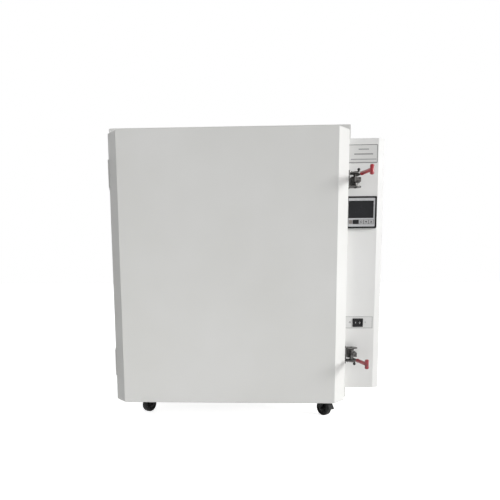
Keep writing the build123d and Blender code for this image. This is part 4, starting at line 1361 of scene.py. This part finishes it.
@dataclass
class Studio:
    """The pale floor, the soft light and the camera."""

    lens: float = 36.14
    shift_right: float = 0.0125
    shift_up: float = 0.1636
    eye: tuple[float, float, float] = (62.9, -1854.8, 475.7)
    pitch_down: float = 7.425
    turn_left: float = 2.584
    roll: float = -0.295
    floor_glow: float = 0.83

    def camera(self) -> None:
        """Sets the camera where the photograph was taken."""
        data = bpy.data.cameras.new("camera")
        data.lens, data.sensor_width, data.sensor_fit = self.lens, 36.0, "HORIZONTAL"
        data.shift_x, data.shift_y = self.shift_right, self.shift_up
        data.clip_start, data.clip_end = 0.05, 60.0
        camera = bpy.data.objects.new("camera", data)
        bpy.context.scene.collection.objects.link(camera)
        camera.matrix_world = (
            Matrix.Translation(Vector(self.eye) * MM)
            @ Matrix.Rotation(math.radians(self.turn_left), 4, "Z")
            @ Matrix.Rotation(math.radians(90 - self.pitch_down), 4, "X")
            @ Matrix.Rotation(math.radians(self.roll), 4, "Z")
        )
        bpy.context.scene.camera = camera

    def floor(self) -> None:
        """Lays a pale floor that is white to the camera and keeps the object's shadow."""
        build = bmesh.new()
        bmesh.ops.create_grid(build, x_segments=1, y_segments=1, size=12.0)
        floor = new_object("studio_floor", mesh_from("studio_floor", build))
        made = bpy.data.materials.new("studio_floor")
        made.use_nodes = True
        tree = made.node_tree
        tree.nodes.clear()
        pale = put(tree, "ShaderNodeBsdfDiffuse", None, {"Color": linear("#e6e6e6")})
        glows = {0: seen_directly(tree), 1: self.floor_glow}
        lift = put(tree, "ShaderNodeMath", {"operation": "MULTIPLY"}, glows)
        glow = put(tree, "ShaderNodeEmission", None, {"Color": (1, 1, 1, 1), "Strength": lift.outputs[0]})
        both = put(tree, "ShaderNodeAddShader", None, {0: pale.outputs[0], 1: glow.outputs[0]})
        put(tree, "ShaderNodeOutputMaterial", None, {"Surface": both.outputs[0]})
        floor.data.materials.append(made)

    def world(self) -> None:
        """Lights the room evenly, and shows white where the camera looks past the floor."""
        world = bpy.data.worlds.new("studio")
        bpy.context.scene.world = world
        world.use_nodes = True
        tree = world.node_tree
        tree.nodes.clear()
        fill = put(tree, "ShaderNodeBackground", None, {"Color": (1, 1, 1, 1), "Strength": 0.2})
        white = put(tree, "ShaderNodeBackground", None, {"Color": (1, 1, 1, 1), "Strength": 1.0})
        ends = {0: seen_directly(tree), 1: fill.outputs[0], 2: white.outputs[0]}
        pick = put(tree, "ShaderNodeMixShader", None, ends)
        put(tree, "ShaderNodeOutputWorld", None, {"Surface": pick.outputs[0]})

    def lamps(self) -> None:
        """Hangs a broad lamp at the right front and one behind, and sets a weak low one before the door."""
        suns = (("key", 3.13, 22, (0.86, -0.40, 0.30)), ("back", 1.2, 40, (-0.52, 0.78, 0.36)))
        for name, energy, angle, direction in suns:
            data = bpy.data.lights.new(name, "SUN")
            data.energy, data.angle = energy, math.radians(angle)
            sun = bpy.data.objects.new(name, data)
            bpy.context.scene.collection.objects.link(sun)
            sun.matrix_world = turned_to(direction)
        data = bpy.data.lights.new("low", "AREA")
        data.shape, data.size, data.size_y, data.energy = "RECTANGLE", 1.8, 0.4, 1.6
        low = bpy.data.objects.new("low", data)
        bpy.context.scene.collection.objects.link(low)
        low.matrix_world = Matrix.Translation((-0.1, -1.05, 0.03)) @ turned_to((0, -0.8, -0.6))

    def build(self) -> None:
        """Builds the studio."""
        self.camera()
        self.floor()
        self.world()
        self.lamps()


NODE_FINISH: dict[str, Finish] = {
    "cabinet_wrap": PAINT,
    "front_frame": PAINT,
    "door_shell": PAINT,
    "rear_panel": REAR_PAINT,
    "motor_cover": REAR_PAINT,
    "base_frame": REAR_PAINT,
    # Lighter copy of the white paint: painted light on the control box.
    "control_casing": LIT_BOX_PAINT,
    "chamber_liner": LINER,
    "shelf_rails": LINER,
    "air_baffle": LINER,
    "door_inner_panel": PLUG,
    "exhaust_stack": PIPE,
    "vent_damper": PIPE,
    "fan_wheel": LINER,
    "hinge_frame_leaves": PAINT,
    "hinge_door_leaves": PAINT,
    "hinge_pins": ZINC,
    "latch_keepers": ZINC,
    "fan_shaft": ZINC,
    "cabinet_screws": SCREW_ZINC,
    "door_screws": SCREW_ZINC,
    "shelf_upper": CHROME_WIRE,
    "shelf_lower": CHROME_WIRE,
    "heater_elements": SHEATH,
    "temperature_probe": SHEATH,
    "insulation_jacket": WOOL,
    "door_insulation": WOOL,
    "chamber_seal": SEAL,
    "fan_motor": MOTOR,
    "nameplate": LABEL,
    "switch_plate": LABEL,
    "rocker_housing": BLACK,
    "rocker_paddle": BLACK,
    "key_power": BLACK,
    "key_set": KEY_SILVER,
    "key_down": KEY_SILVER,
    "key_up": KEY_SILVER,
    "cable_gland": BLACK,
    "solid_state_relay": BLACK,
    "controller_housing": SILVER,
    "controller_display": WINDOW,
    "caster_mounts": BLACK_STEEL,
}


def dress_nodes() -> None:
    """Gives every CAD node its finish."""
    by_kind = {
        "latch_grip": RED,
        "latch_": ZINC,
        "caster_wheel": WHEEL,
        "caster_": BLACK_STEEL,
    }
    for name, piece in frame["nodes"].items():
        finish = NODE_FINISH.get(name)
        if finish is None:
            finish = next(f for key, f in by_kind.items() if name.startswith(key))
        material = finish.material()
        if not piece.material_slots:
            piece.data.materials.append(material)
        for k in range(len(piece.material_slots)):
            piece.material_slots[k].material = material


def main() -> None:
    """Builds the studio and every sub-assembly, and reports each piece."""
    logging.basicConfig(level=logging.INFO, format="%(name)s: %(message)s")
    scene = bpy.context.scene
    scene.view_settings.view_transform = "Standard"
    Studio().build()
    dress_nodes()
    Fasteners().build()
    for side, up in (("upper", 1), ("lower", -1)):
        Latch(side, up).build()
    for corner in ("front_left", "front_right", "rear_left", "rear_right"):
        Caster(corner).build()
    ControlBox().build()
    DoorSeal().build()


if __name__ == "__main__":
    main()
